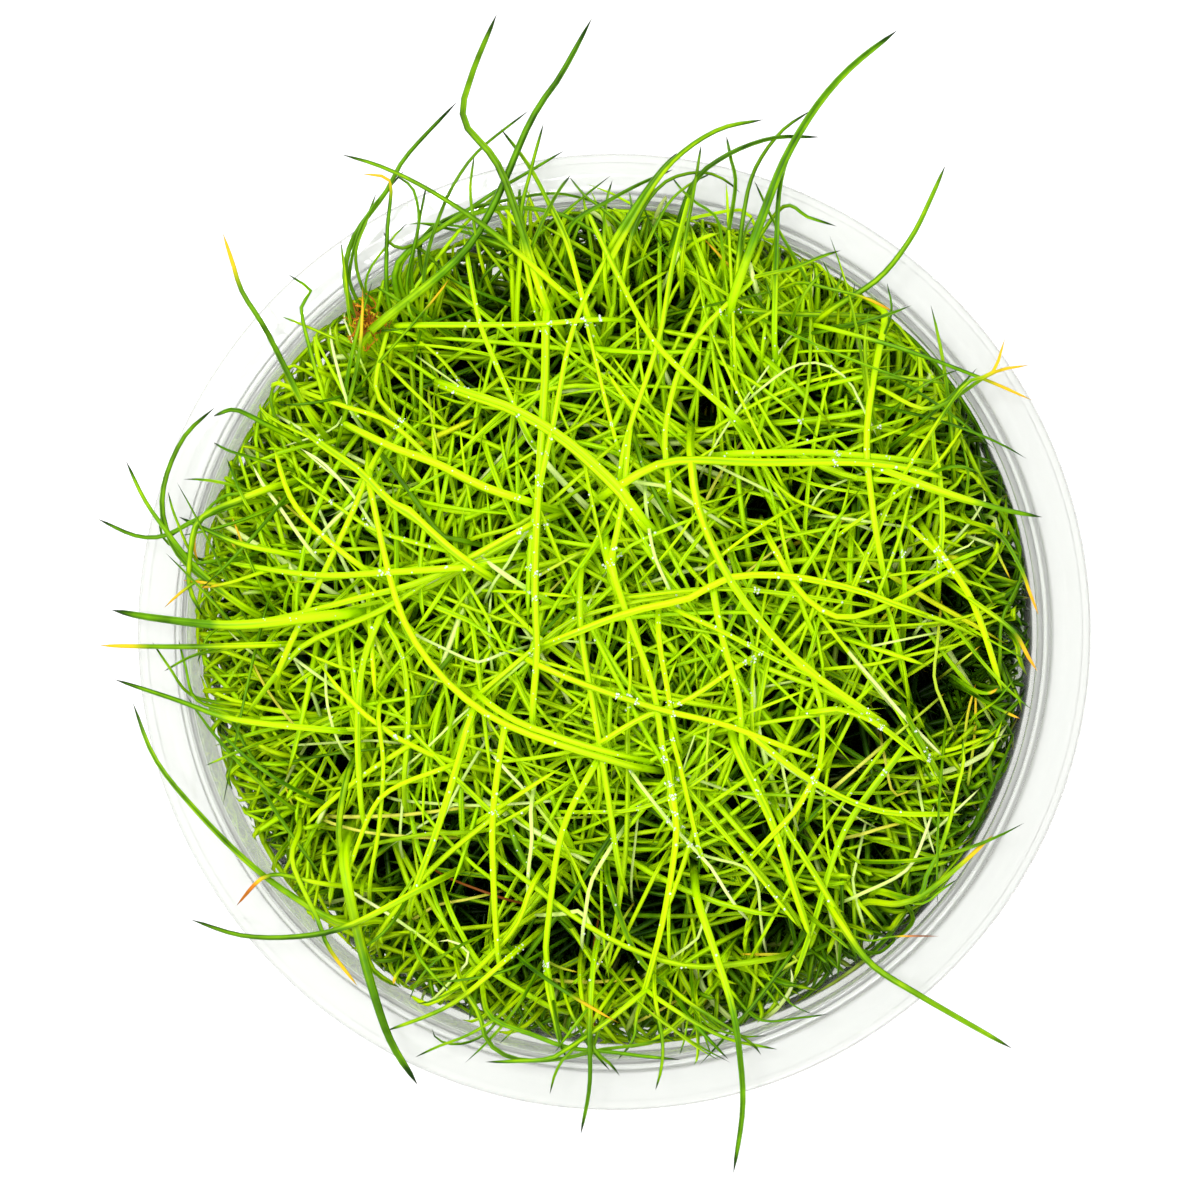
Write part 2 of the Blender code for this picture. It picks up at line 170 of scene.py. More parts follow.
# Blades that show one by one, traced as the camera sees them at the rim's plane. Each has
# its thickness, then places from its foot's side to its tip.
TOP_BLADES = {
    "lime": [
        (1.2, (-6.3, 31), (-6.4, 25.2), (-7.0, 15), (-7.4, 5), (-7.2, -2), (-7.6, -7.3)),
        (2.0, (2.7, 11.8), (0.9, 14.2), (-4.2, 18.8), (-9.3, 21.9), (-14.4, 23.7)),
        (1.2, (8.3, 17), (9.1, 12), (11.7, 6), (15, 1.3), (19, -3), (24.3, -6.9)),
        (1.3, (1.2, 14.7), (6.2, 17), (15.2, 16.9), (24.8, 16.9), (29.8, 16.3), (34, 15.2)),
        (1.1, (-5.1, -0.8), (2.2, 2), (8.2, 3.4), (11.9, 5.4), (17.8, 5.6), (24.4, 4.3), (28.5, 2.8)),
        (1.0, (-8.2, 10.5), (-18.1, 5.4), (-24.8, 3.5), (-34.2, 1.2), (-40.2, 0.8)),
        (0.8, (-9, 9.4), (-18.3, 4.4), (-25, 2.6), (-34, 0.4), (-38.9, 0.2)),
        (1.1, (-14.1, 6.5), (-22, 6), (-29.4, 5.7), (-38.8, 7)),
        (1.0, (-10.7, 7.3), (-16.7, 6), (-22.7, 2.3), (-30, -0.9), (-33, -3.6), (-36.8, -8.6)),
        (1.1, (1.2, -13.1), (-8.8, -9.9), (-14.5, -6.6), (-19, -1.7), (-21.6, 3.9), (-24, 14.4)),
        (1.0, (-33.1, -3.4), (-29.1, 5.1), (-25.9, 11.8), (-24, 16.4)),
        (1.3, (-13.6, 6.6), (-16.7, 9), (-19.8, 11.8), (-22, 13.1), (-25, 16.1), (-28.3, 18.4)),
        (1.4, (-8.8, 13.3), (-12.6, 14.6), (-17.3, 16.9), (-21.4, 18.4), (-24, 19.6)),
        (1.0, (-2.9, 4.6), (-2.7, -0.6), (-1.4, -8.1), (-0.2, -15.4), (0.8, -22.3)),
        (1.0, (-23.1, 1.3), (-24.8, -3.4), (-25.3, -9.9), (-25, -16.8)),
        (0.9, (-22.5, 0.9), (-20.8, -2.4), (-20.2, -8.1), (-20.6, -15.2)),
        (1.1, (33, 8), (35.7, 4.1), (36.8, 1.7), (37.9, -1.5), (39.2, -5.9)),
        (1.1, (29.2, 36.2), (27.2, 29), (25.8, 20), (26.3, 12.9), (27.1, 7.7)),
        (1.0, (16.7, 8.1), (19.3, 3.8), (22.9, 1.5), (27, 2.3), (32.8, 5.4)),
        (1.0, (21.2, -7.9), (22.9, -7.7), (26.6, -9), (31.9, -13.1)),
        (1.0, (33, 6.9), (33.3, 10.7), (33, 15.8), (32.4, 18.8)),
        (0.9, (15.4, -32.7), (8.9, -33.4), (3.4, -32.1), (-2.4, -29.2), (-9.9, -23.6)),
        (1.0, (-1.5, -13.5), (-4.7, -20.1), (-6.1, -29.4), (-6.2, -33.2), (-5, -39.6)),
        (1.0, (-10.5, -9.9), (-11.6, -17.8), (-11.6, -24.4), (-11.2, -31.3)),
        (1.0, (6.3, -16.4), (6.8, -20.1), (5.7, -27.6), (4.4, -33), (2.5, -39.5)),
        (0.7, (13.4, -10.9), (9.8, -14.2), (6.2, -16.5), (2.3, -17.8), (-1.8, -18)),
        (1.0, (-20, 20.5), (-23.4, 24), (-22.6, 29), (-20.6, 36), (-19.3, 41.5)),
        (1.0, (-15, 15.5), (-17.5, 17), (-22, 21), (-27, 22.8), (-34.5, 25.5), (-37.7, 27.1)),
        (0.8, (-22, 31), (-18, 36.5), (-14.8, 40.5), (-10, 45)),
        (0.6, (-30, 19.5), (-34, 21.5), (-37, 24.2)),
        (0.6, (-30, 23.3), (-34.5, 26.5), (-38, 34.8)),
        (0.7, (-26, 22.8), (-29.8, 30), (-32.5, 36)),
        (0.7, (-17.5, 22), (-24.7, 30), (-26.9, 39.2)),
        (1.1, (-20, 30.8), (-8, 30.8), (-2.5, 31.2)),
        (0.7, (-14.5, 24.5), (-17.5, 28), (-22.8, 31.7)),
        (1.1, (-8.5, 20.5), (-12, 28.5), (-13.2, 32), (-14.6, 40)),
        (0.8, (0.5, 20), (-2.2, 31), (-4, 39), (-7, 45)),
        (1.2, (12, 22), (5, 28.5), (1, 35.5), (-2.5, 43)),
        (1.1, (1.2, 16), (2, 20), (5, 29), (6.5, 37), (8.5, 45)),
        (1.1, (-6.8, 15), (-5.5, 21), (-3.5, 30.5), (0, 38)),
        (0.7, (15.5, 29), (17, 40), (17.5, 45)),
        (0.7, (12.7, 26.5), (12.3, 35), (11.8, 45)),
        (0.7, (7, 41), (15, 42.5), (22.8, 43)),
        (1.1, (6, 15), (5.8, 21), (8.5, 29), (16, 36.5)),
        (0.7, (9, 35.5), (14.5, 32.3), (19.5, 31.7)),
        (0.7, (16.5, 16.5), (10.5, 29.5), (8.7, 37)),
        (0.7, (18.5, 18), (20, 25), (20.3, 36.5)),
        (0.6, (20.5, 28), (27, 28), (32.5, 28.5)),
        (0.7, (19, 18.7), (29, 21), (33, 22.8), (37.5, 25)),
        (0.7, (24.4, 10.7), (31.9, 15.9), (35.8, 21)),
        (1.1, (13.1, 17.8), (20.3, 17.9), (24.8, 17.6), (29, 17.2)),
        (0.9, (26.3, 15.2), (30, 14.8), (35.3, 13.1), (38.5, 12.4)),
        (1.0, (0.3, 7.4), (1, 10.7), (1.6, 14.4), (2, 19)),
        (1.0, (0.1, 7.1), (2, 1.3), (4.4, -5.3), (5.5, -11.8), (6.4, -16.3)),
        (0.6, (-2.2, 15.8), (-0.8, 9.2), (0.3, 5)),
        (0.7, (-7.6, 9.5), (-5, 7.7), (-0.8, 5.4)),
        (0.7, (-12.9, 9.6), (-9.1, 10.7), (-5.3, 13.5), (-0.7, 17.6)),
        (0.6, (0.3, 6.9), (2.2, 8.6), (5, 9.9), (8.7, 11.4)),
        (0.6, (5.5, 18.2), (7, 14.4), (8.9, 12.6)),
        (0.8, (-12.9, -6.2), (-7, -1.3), (-3.5, 1.2), (2.2, 2.9), (5.9, 3.5)),
        (1.0, (-12, -7.2), (-9.1, -9), (-4.4, -10.7), (0, -12)),
        (0.6, (-9.9, -4.5), (-8, -6.4), (-6.1, -8.8)),
        (0.5, (-11, -7.9), (-7.2, -8.3), (-1.2, -9.8)),
        (1.0, (-6.9, -3.4), (-2.3, -5.3), (5, -7.7), (11.5, -9.2), (17.2, -11.3)),
        (0.9, (-0.8, -11.1), (3.3, -8.6), (7.8, -6.8), (11.9, -4.1)),
        (0.9, (5, 0.3), (5.3, -2.4), (5.9, -5.6), (6.3, -8.1)),
        (0.6, (2, -0.6), (2.2, -4.3), (2, -7)),
        (0.7, (2.5, 3.6), (10.2, 4.3), (17.2, 3.9), (22, 3.2)),
        (1.1, (10.4, 4.7), (11.4, -0.6), (13, -6.2), (13.4, -11)),
        (0.8, (7.8, 1.7), (11.5, 0), (17.2, -3), (20.6, -4.5), (24.4, -7.3)),
        (0.6, (14.4, -10), (14.4, -4.3), (15.3, 1.5)),
        (0.9, (20.6, -5.1), (21.4, -8.4), (21.2, -12.6), (20.6, -15)),
        (0.6, (22.5, -12), (25.1, -6.8), (27.4, -1.7), (28.9, 3)),
        (0.6, (22.5, -3.6), (26.3, -3.2), (30, -2.3), (36.4, -0.9)),
        (0.8, (28.9, 2.6), (33.4, 1.1), (37.1, -0.6)),
        (0.5, (22.5, 1.1), (26.3, 0.6), (33.8, 1.1), (39.4, 2.8)),
        (0.9, (24.4, 4.3), (26.8, 9.9), (29.4, 16), (31, 19)),
        (0.6, (27, 3.9), (29.1, 9.6), (30, 13.2)),
        (0.6, (13.1, 8.4), (19.7, 9.9), (27, 11.1)),
        (0.6, (24, 7.2), (29.1, 7.1), (32.8, 7.5)),
        (0.8, (30.8, 9.8), (33, 7.7)),
        (0.5, (25.3, 5.1), (31.1, 6), (34.7, 5.4), (39.4, 3.8)),
        (0.7, (-35.1, 8.6), (-32.9, 8), (-25.7, 8.3)),
        (1.0, (-25, 6.6), (-29.1, 9.9), (-32.1, 13.5), (-33.8, 18.6)),
        (0.6, (-17.1, 8.3), (-23.3, 10.1), (-27.6, 12.8), (-32.3, 16)),
        (0.6, (-19, -3), (-14.8, 3.2), (-9.6, 9.2)),
        (0.6, (-10.2, -3.4), (-15, 3.4), (-18, 6.9), (-21.6, 9.6)),
        (0.6, (-17.5, 3.9), (-12.6, 1.9), (-8.8, 0.6)),
        (0.5, (-10, -3.8), (-14.5, -5.4), (-19.9, -3.9)),
        (0.8, (-20.1, -9.6), (-25.7, -9.8), (-31.4, -9.6), (-38.8, -8.4)),
        (0.5, (-34.2, -11.8), (-29.9, -9.4), (-27, -8.1)),
        (0.9, (-20.4, -11.6), (-24.7, -14.4), (-28.9, -17.8), (-30.7, -19.7)),
        (1.1, (-14, -9), (-15, -12.6), (-17.2, -19.7), (-19.3, -25.3)),
        (0.9, (-11.6, -18.6), (-17.2, -23.2), (-21.9, -28.5), (-24.4, -32.3)),
        (0.8, (-16.7, -13.7), (-21.7, -15.7), (-24, -18.2), (-26.6, -25.1)),
        (0.7, (-14.4, -20.1), (-19.1, -20.4), (-29.4, -22.5)),
        (0.7, (-23.2, -8.8), (-22.7, -13.5), (-23.2, -20.1), (-23.9, -24)),
        (0.9, (-7.8, -25.7), (-9.7, -30), (-15.3, -35.6), (-22, -39.8)),
        (0.9, (-6.5, -37.2), (-12.7, -33.4), (-14.4, -30.9), (-15.7, -28.5)),
        (0.8, (1.9, -10.3), (1.9, -17.8), (1.4, -24.9), (-0.3, -34.5)),
        (1.0, (5.3, -11.1), (5.9, -13.5), (6.4, -16.9)),
        (0.8, (6.4, -10.7), (7.2, -13.5), (8.7, -20.1)),
        (0.8, (9, -27.6), (11.1, -33.2), (12.6, -38.8), (13, -42)),
        (0.8, (7.9, -15.7), (14.1, -23.1), (19.2, -29.6)),
        (1.3, (13.1, -12.4), (16.3, -18.9), (18.4, -25.1), (20.3, -30.8)),
        (1.0, (14.3, -10.3), (20.6, -15), (27.2, -17.8), (35.3, -18.1)),
        (0.9, (20.6, -14.4), (18.8, -17.6), (16, -20.6)),
        (1.0, (17.6, -19.3), (21.2, -25.1), (25.1, -31.7), (27.5, -34)),
        (0.8, (13.1, -21.6), (17.6, -26.8), (19.6, -30)),
        (1.0, (28.9, -12.2), (23.6, -19.7), (20.6, -28.7), (18.4, -35.1)),
        (0.6, (27, -12.2), (22.9, -17.8), (17.4, -26.8), (15.6, -30)),
        (0.7, (4.9, -23.8), (3.4, -26.8), (-0.3, -34.3)),
        (0.8, (-6.2, -25.1), (-8.4, -27.7), (-12.5, -34)),
        (0.5, (-4.7, -14.2), (-10.8, -12.4), (-13.5, -11.6)),
    ],
    "green": [
        (0.9, (-14.7, 9.2), (-16.9, 9.8), (-20.3, 14.4), (-23.3, 18.4)),
        (0.9, (-19.9, -11.8), (-19, -6.8), (-16.3, -3)),
        (0.8, (2.9, 18.2), (4, 15.2), (6.1, 11.3)),
        (1.0, (-26.5, -15), (-27.2, -20.4), (-26.2, -26.6), (-24.5, -32.1), (-22.9, -38.8)),
        (1.1, (14, 32), (18, 31.7), (27.8, 31.4)),
        (1.0, (-9.7, -20.1), (-8.4, -23.1), (-6, -26.8)),
        (0.9, (0, -20.8), (-4.3, -27.2), (-10.8, -35.8)),
        (1.0, (0.2, -25.7), (2.3, -31.3), (4.7, -34.5), (7, -36)),
        (0.9, (30.4, -9.5), (33, -14.2), (34.1, -15.9)),
        (0.6, (34.2, 19.7), (36.5, 22), (39.4, 29.2)),
        (0.6, (21, 20), (30, 21.5), (36.9, 30.3)),
        (0.7, (28.5, 30.7), (34, 27.8), (39.2, 19.5)),
        (0.6, (17.1, -32.6), (15.9, -35.1), (13.1, -38.1)),
        (0.6, (4.7, -34.5), (7, -36), (10.5, -38.8)),
        (0.6, (-7.4, -1.1), (-3, 3.8)),
        (0.5, (-34.5, -13.5), (-27.4, -12.2), (-23.6, -11.8)),
        (0.7, (-34.9, -15.7), (-33.2, -18.7), (-28.9, -24.7)),
        (0.6, (-37.9, -9.2), (-36, -12.6), (-34.5, -14.4)),
        (0.9, (-7.8, 37.5), (-8.8, 42), (-9, 45.4)),
        (0.9, (1.8, 38), (3.3, 42), (5, 45.2)),
        (0.5, (-26.5, 31.5), (-26.5, 35), (-23.5, 44)),
        (0.5, (-25.4, 33), (-25.7, 36.5), (-22, 45.3)),
        (0.7, (-33.8, 22), (-35, 27.5), (-35.3, 31)),
        (0.8, (24, -25.5), (27.2, -28.3), (29.6, -32.4), (30.6, -34.5)),
        (0.8, (29.4, -26.6), (30.6, -28.7), (31.2, -33.4)),
        (0.6, (25.5, -31.7), (29.6, -32.8), (30.8, -32.3)),
        (0.6, (23.3, -24.7), (23.3, -28.5), (22.9, -34.7)),
        (0.5, (29.1, -27.2), (32.8, -25.9), (34.7, -24.4)),
        (0.5, (33.8, 18.2), (38.5, 16.9), (40, 16.8)),
        (0.5, (35.3, 16.5), (37.5, 15.4), (40.2, 13.9)),
        (0.6, (39, -2.4), (39.2, 1.3), (40.9, 5.1), (41.3, 7.3)),
        (0.5, (33.4, 7.7), (36.8, 8.4), (39.4, 10.1)),
        (0.7, (34, 17.1), (36.2, 13.1), (38.5, 8.8), (39.4, 6)),
    ],
    "cream": [
        (0.8, (-30.2, 8.3), (-33.4, 12.8), (-34.9, 14.8), (-36, 16.9)),
        (0.7, (-23.8, 10.7), (-25.9, 13.9), (-28.7, 16.9), (-31.2, 18.5)),
        (0.8, (-28.7, 10.1), (-26.8, 12)),
        (0.5, (-22, -11.1), (-23.9, -10.9), (-30.2, -11.3)),
        (0.6, (-27.4, -10.7), (-28.2, -8.1), (-28.5, -6)),
        (0.6, (-36, -2.1), (-37.4, -0.9), (-38.5, 0.2)),
        (0.6, (-11.1, -2.3), (-13.3, -3), (-17.3, -1.3)),
        (0.6, (-11.3, 5.3), (-10.3, 6.6), (-8.8, 9.2)),
        (0.5, (-21.5, -14.2), (-19.1, -12.4), (-15.3, -8.8)),
        (0.6, (-17, -19.5), (-15.5, -16.3), (-13.4, -12.6)),
        (0.6, (-21, -20.6), (-20.6, -15.8)),
        (0.6, (-20.2, -17), (-13.5, -17.4), (-7.8, -17.1)),
        (0.8, (1.5, 15.1), (3.3, 14.9), (6.1, 14.4), (8.3, 12.9)),
        (0.7, (2.7, -14.6), (6.6, -19.5), (10.2, -23.4), (11.5, -25.5)),
        (0.8, (0.2, -21.6), (-1.7, -24.9), (-2.3, -28)),
        (0.9, (-2, -29.1), (-2.6, -27.9), (-3.9, -28.1)),
        (0.6, (7.5, -14.2), (12.2, -15.9), (15, -16.7)),
        (0.6, (10.2, -22.5), (13.7, -23.4), (14.9, -25.1), (15.2, -28.3)),
        (0.6, (5.3, -33.2), (8.9, -30.6), (9.4, -28.9)),
        (0.5, (2.3, -24.6), (2.7, -20.8), (3, -18.2)),
        (0.8, (-7.8, -17.8), (-7.7, -20.8), (-8, -23.4)),
        (0.5, (14.2, -5.7), (15.8, -5.4), (17.4, -5.1)),
        (0.8, (24, -2), (28.1, -6.8), (30.6, -9.6), (33.6, -12.6)),
        (0.7, (25.1, -26.1), (29.8, -23.6), (31.7, -19.7), (32.5, -17.1)),
        (0.6, (31.3, -17.5), (31.9, -20.1), (32.6, -22.3)),
        (0.6, (32.3, -19.9), (35.3, -17.1), (37.1, -15.4)),
        (0.6, (25.3, -28.5), (24.4, -24.9), (24.8, -22.9)),
        (0.6, (17.3, -12.9), (18, -16.3)),
        (0.5, (18.8, -14.2), (16.3, -12.4)),
        (0.4, (20.6, -15.7), (23.5, -17.6)),
        (0.6, (-19.5, -38.8), (-15.2, -34.3), (-14, -32.4), (-15.6, -31), (-17.4, -31.1)),
        (0.9, (-26.3, 23), (-27.7, 28), (-28.2, 31)),
        (0.5, (-26.5, 22), (-28, 20.3), (-33, 18.6)),
        (0.5, (-27.2, 15.3), (-31, 18.4)),
        (0.6, (-14.5, 24.3), (-17.8, 26.6)),
        (0.6, (20.1, 29), (20.3, 33), (20.6, 36.7)),
        (0.6, (15.3, 24.3), (18.5, 26.5), (21.5, 26.7), (24, 25), (25.3, 22.5)),
        (0.6, (11.4, 16.3), (14.9, 14.6)),
        (0.6, (10.2, 17.8), (12.5, 21.5), (17.5, 28.5)),
        (0.7, (3.7, 13.3), (4, 10.7), (4.6, 7.7), (5.7, 5.1)),
        (0.6, (22.9, 11.4), (25.1, 11.1), (26.6, 10.9)),
        (0.5, (27.2, -1.2), (29.6, -0.7)),
        (0.5, (7.4, -38.6), (7.4, -37)),
        (0.9, (16.5, -38), (17.6, -36.6), (18.4, -35.1), (18.2, -33.4)),
        (0.5, (-7, -0.7), (-4.4, -0.9)),
        (0.5, (-2.2, 2.3), (-1, 4.7)),
        (0.5, (36.2, 13.1), (37.2, 10.9)),
        (0.5, (35, 8.2), (36.2, 8.8), (36.6, 9.9)),
        (0.4, (7.6, -13.4), (8.5, -10.7)),
        (0.5, (20.6, 13), (21.2, 14), (23.4, 15)),
    ],
    "yellow": [
        (0.5, (-28.9, 9.8), (-32.7, 12.9), (-34.4, 14.8)),
        (0.5, (-31.9, -9.2), (-34.5, -5.8), (-36.2, -2.6)),
        (0.5, (9.7, 12.9), (10.6, 14.8), (11.5, 16.3)),
        (0.4, (13.4, 5.6), (17.2, 8.6)),
        (0.4, (-6.3, 3.6), (-4.6, 5.3)),
        (0.5, (-19.1, -28.5), (-17.2, -27.4), (-14.2, -26.8)),
        (0.6, (23.1, -15), (25.9, -12.6)),
        (0.5, (27.6, -12.6), (28.5, -16.1), (30.6, -15.5)),
        (0.6, (25.3, -20.1), (27.2, -19.5), (30.6, -18.6)),
        (0.6, (-5, -34.9), (-1.5, -35), (3.4, -34.6)),
        (0.5, (3.2, -38.8), (6.8, -36.8), (8.1, -35.3)),
        (0.6, (-26.6, -18.6), (-21, -18.4), (-15.9, -17.8)),
        (0.5, (-27.4, -19.4), (-24, -20.2), (-19.4, -20.6)),
    ],
    "amber": [
        (0.5, (33.6, -7.7), (32.5, -4.7), (32.8, -1.1)),
        (0.5, (35.5, -10.9), (35.8, -8.1), (36.6, -5.1)),
        (0.5, (35.9, -14.6), (36.5, -10), (36.6, -5.4)),
        (0.5, (38.8, 7.7), (40.1, 5.1)),
        (0.5, (20.1, -2.4), (20.7, -1.1)),
        (0.5, (35.5, -2.6), (37.1, -1.3)),
        (0.5, (-7, 5.6), (-5.3, 6.6)),
        (0.5, (-22.9, -2.3), (-23.5, -0.6)),
        (0.5, (-17.2, 18.8), (-17.8, 21.5)),
        (0.5, (-4.8, -33.6), (-2.8, -34.1)),
        (0.5, (-1.3, -33.8), (0, -31.3)),
        (0.6, (17.3, -33.6), (18.9, -32.3), (13.1, -32.1)),
        (0.4, (-31.9, -17.4), (-32.8, -15)),
        (0.4, (9.8, -13.7), (10, -9.9)),
        (0.5, (1, -26), (1.1, -24.9)),
        (0.5, (28.7, -10.2), (30, -9.1)),
        (0.4, (-6, -18.6), (-4.4, -18.6)),
        (0.5, (-28.6, -25.3), (-29, -25.2)),
    ],
    "brown": [
        (0.35, (-1.5, -38.8), (-1.8, -36.6), (-1.7, -34.7), (-1.5, -31.7)),
        (0.4, (-10.2, -26.8), (-14.8, -25.2)),
    ],
    "half_cream": [
        (0.7, (-2.2, -25.9), (-4.5, -21.2), (-8.4, -15.9), (-10.8, -13.3)),
        (0.7, (-16.3, -32.4), (-21, -29.1), (-24.4, -27), (-27.4, -25.3), (-29, -25.2)),
        (0.8, (21.8, 0.8), (24.2, -2.3), (26, -4.6)),
        (0.7, (16.7, 14.8), (18.8, 13.1), (22.9, 11.5)),
        (0.7, (-20.1, -8.8), (-24.6, -7.3), (-27.6, -5.6), (-32.1, -2.4)),
        (0.6, (-24, 25), (-26.5, 31), (-27.2, 33.3)),
        (0.6, (-16, -9.9), (-12.4, -6.4), (-8, -2.6)),
    ],
}
# How each kind looks: depth under the top, brightness, which is the painted light it starts from,
# and how bleached and how dry its foot and its tip are
TOP_KINDS = {
    "lime": (0.0, 0.92, (0.0, 0.0), (0.0, 0.0)),
    "green": (2.0, 0.5, (0.0, 0.0), (0.0, 0.0)),
    "cream": (0.6, 0.95, (0.45, 0.75), (0.0, 0.0)),
    "yellow": (1.6, 0.9, (0.35, 0.2), (0.25, 0.3)),
    "amber": (1.0, 0.9, (0.1, 0.1), (0.15, 0.45)),
    "brown": (0.8, 0.6, (0.0, 0.0), (0.95, 0.9)),
    "half_cream": (0.4, 1.0, (0.0, 0.9), (0.0, 0.0)),
}
TOP_LAYER = 6.0

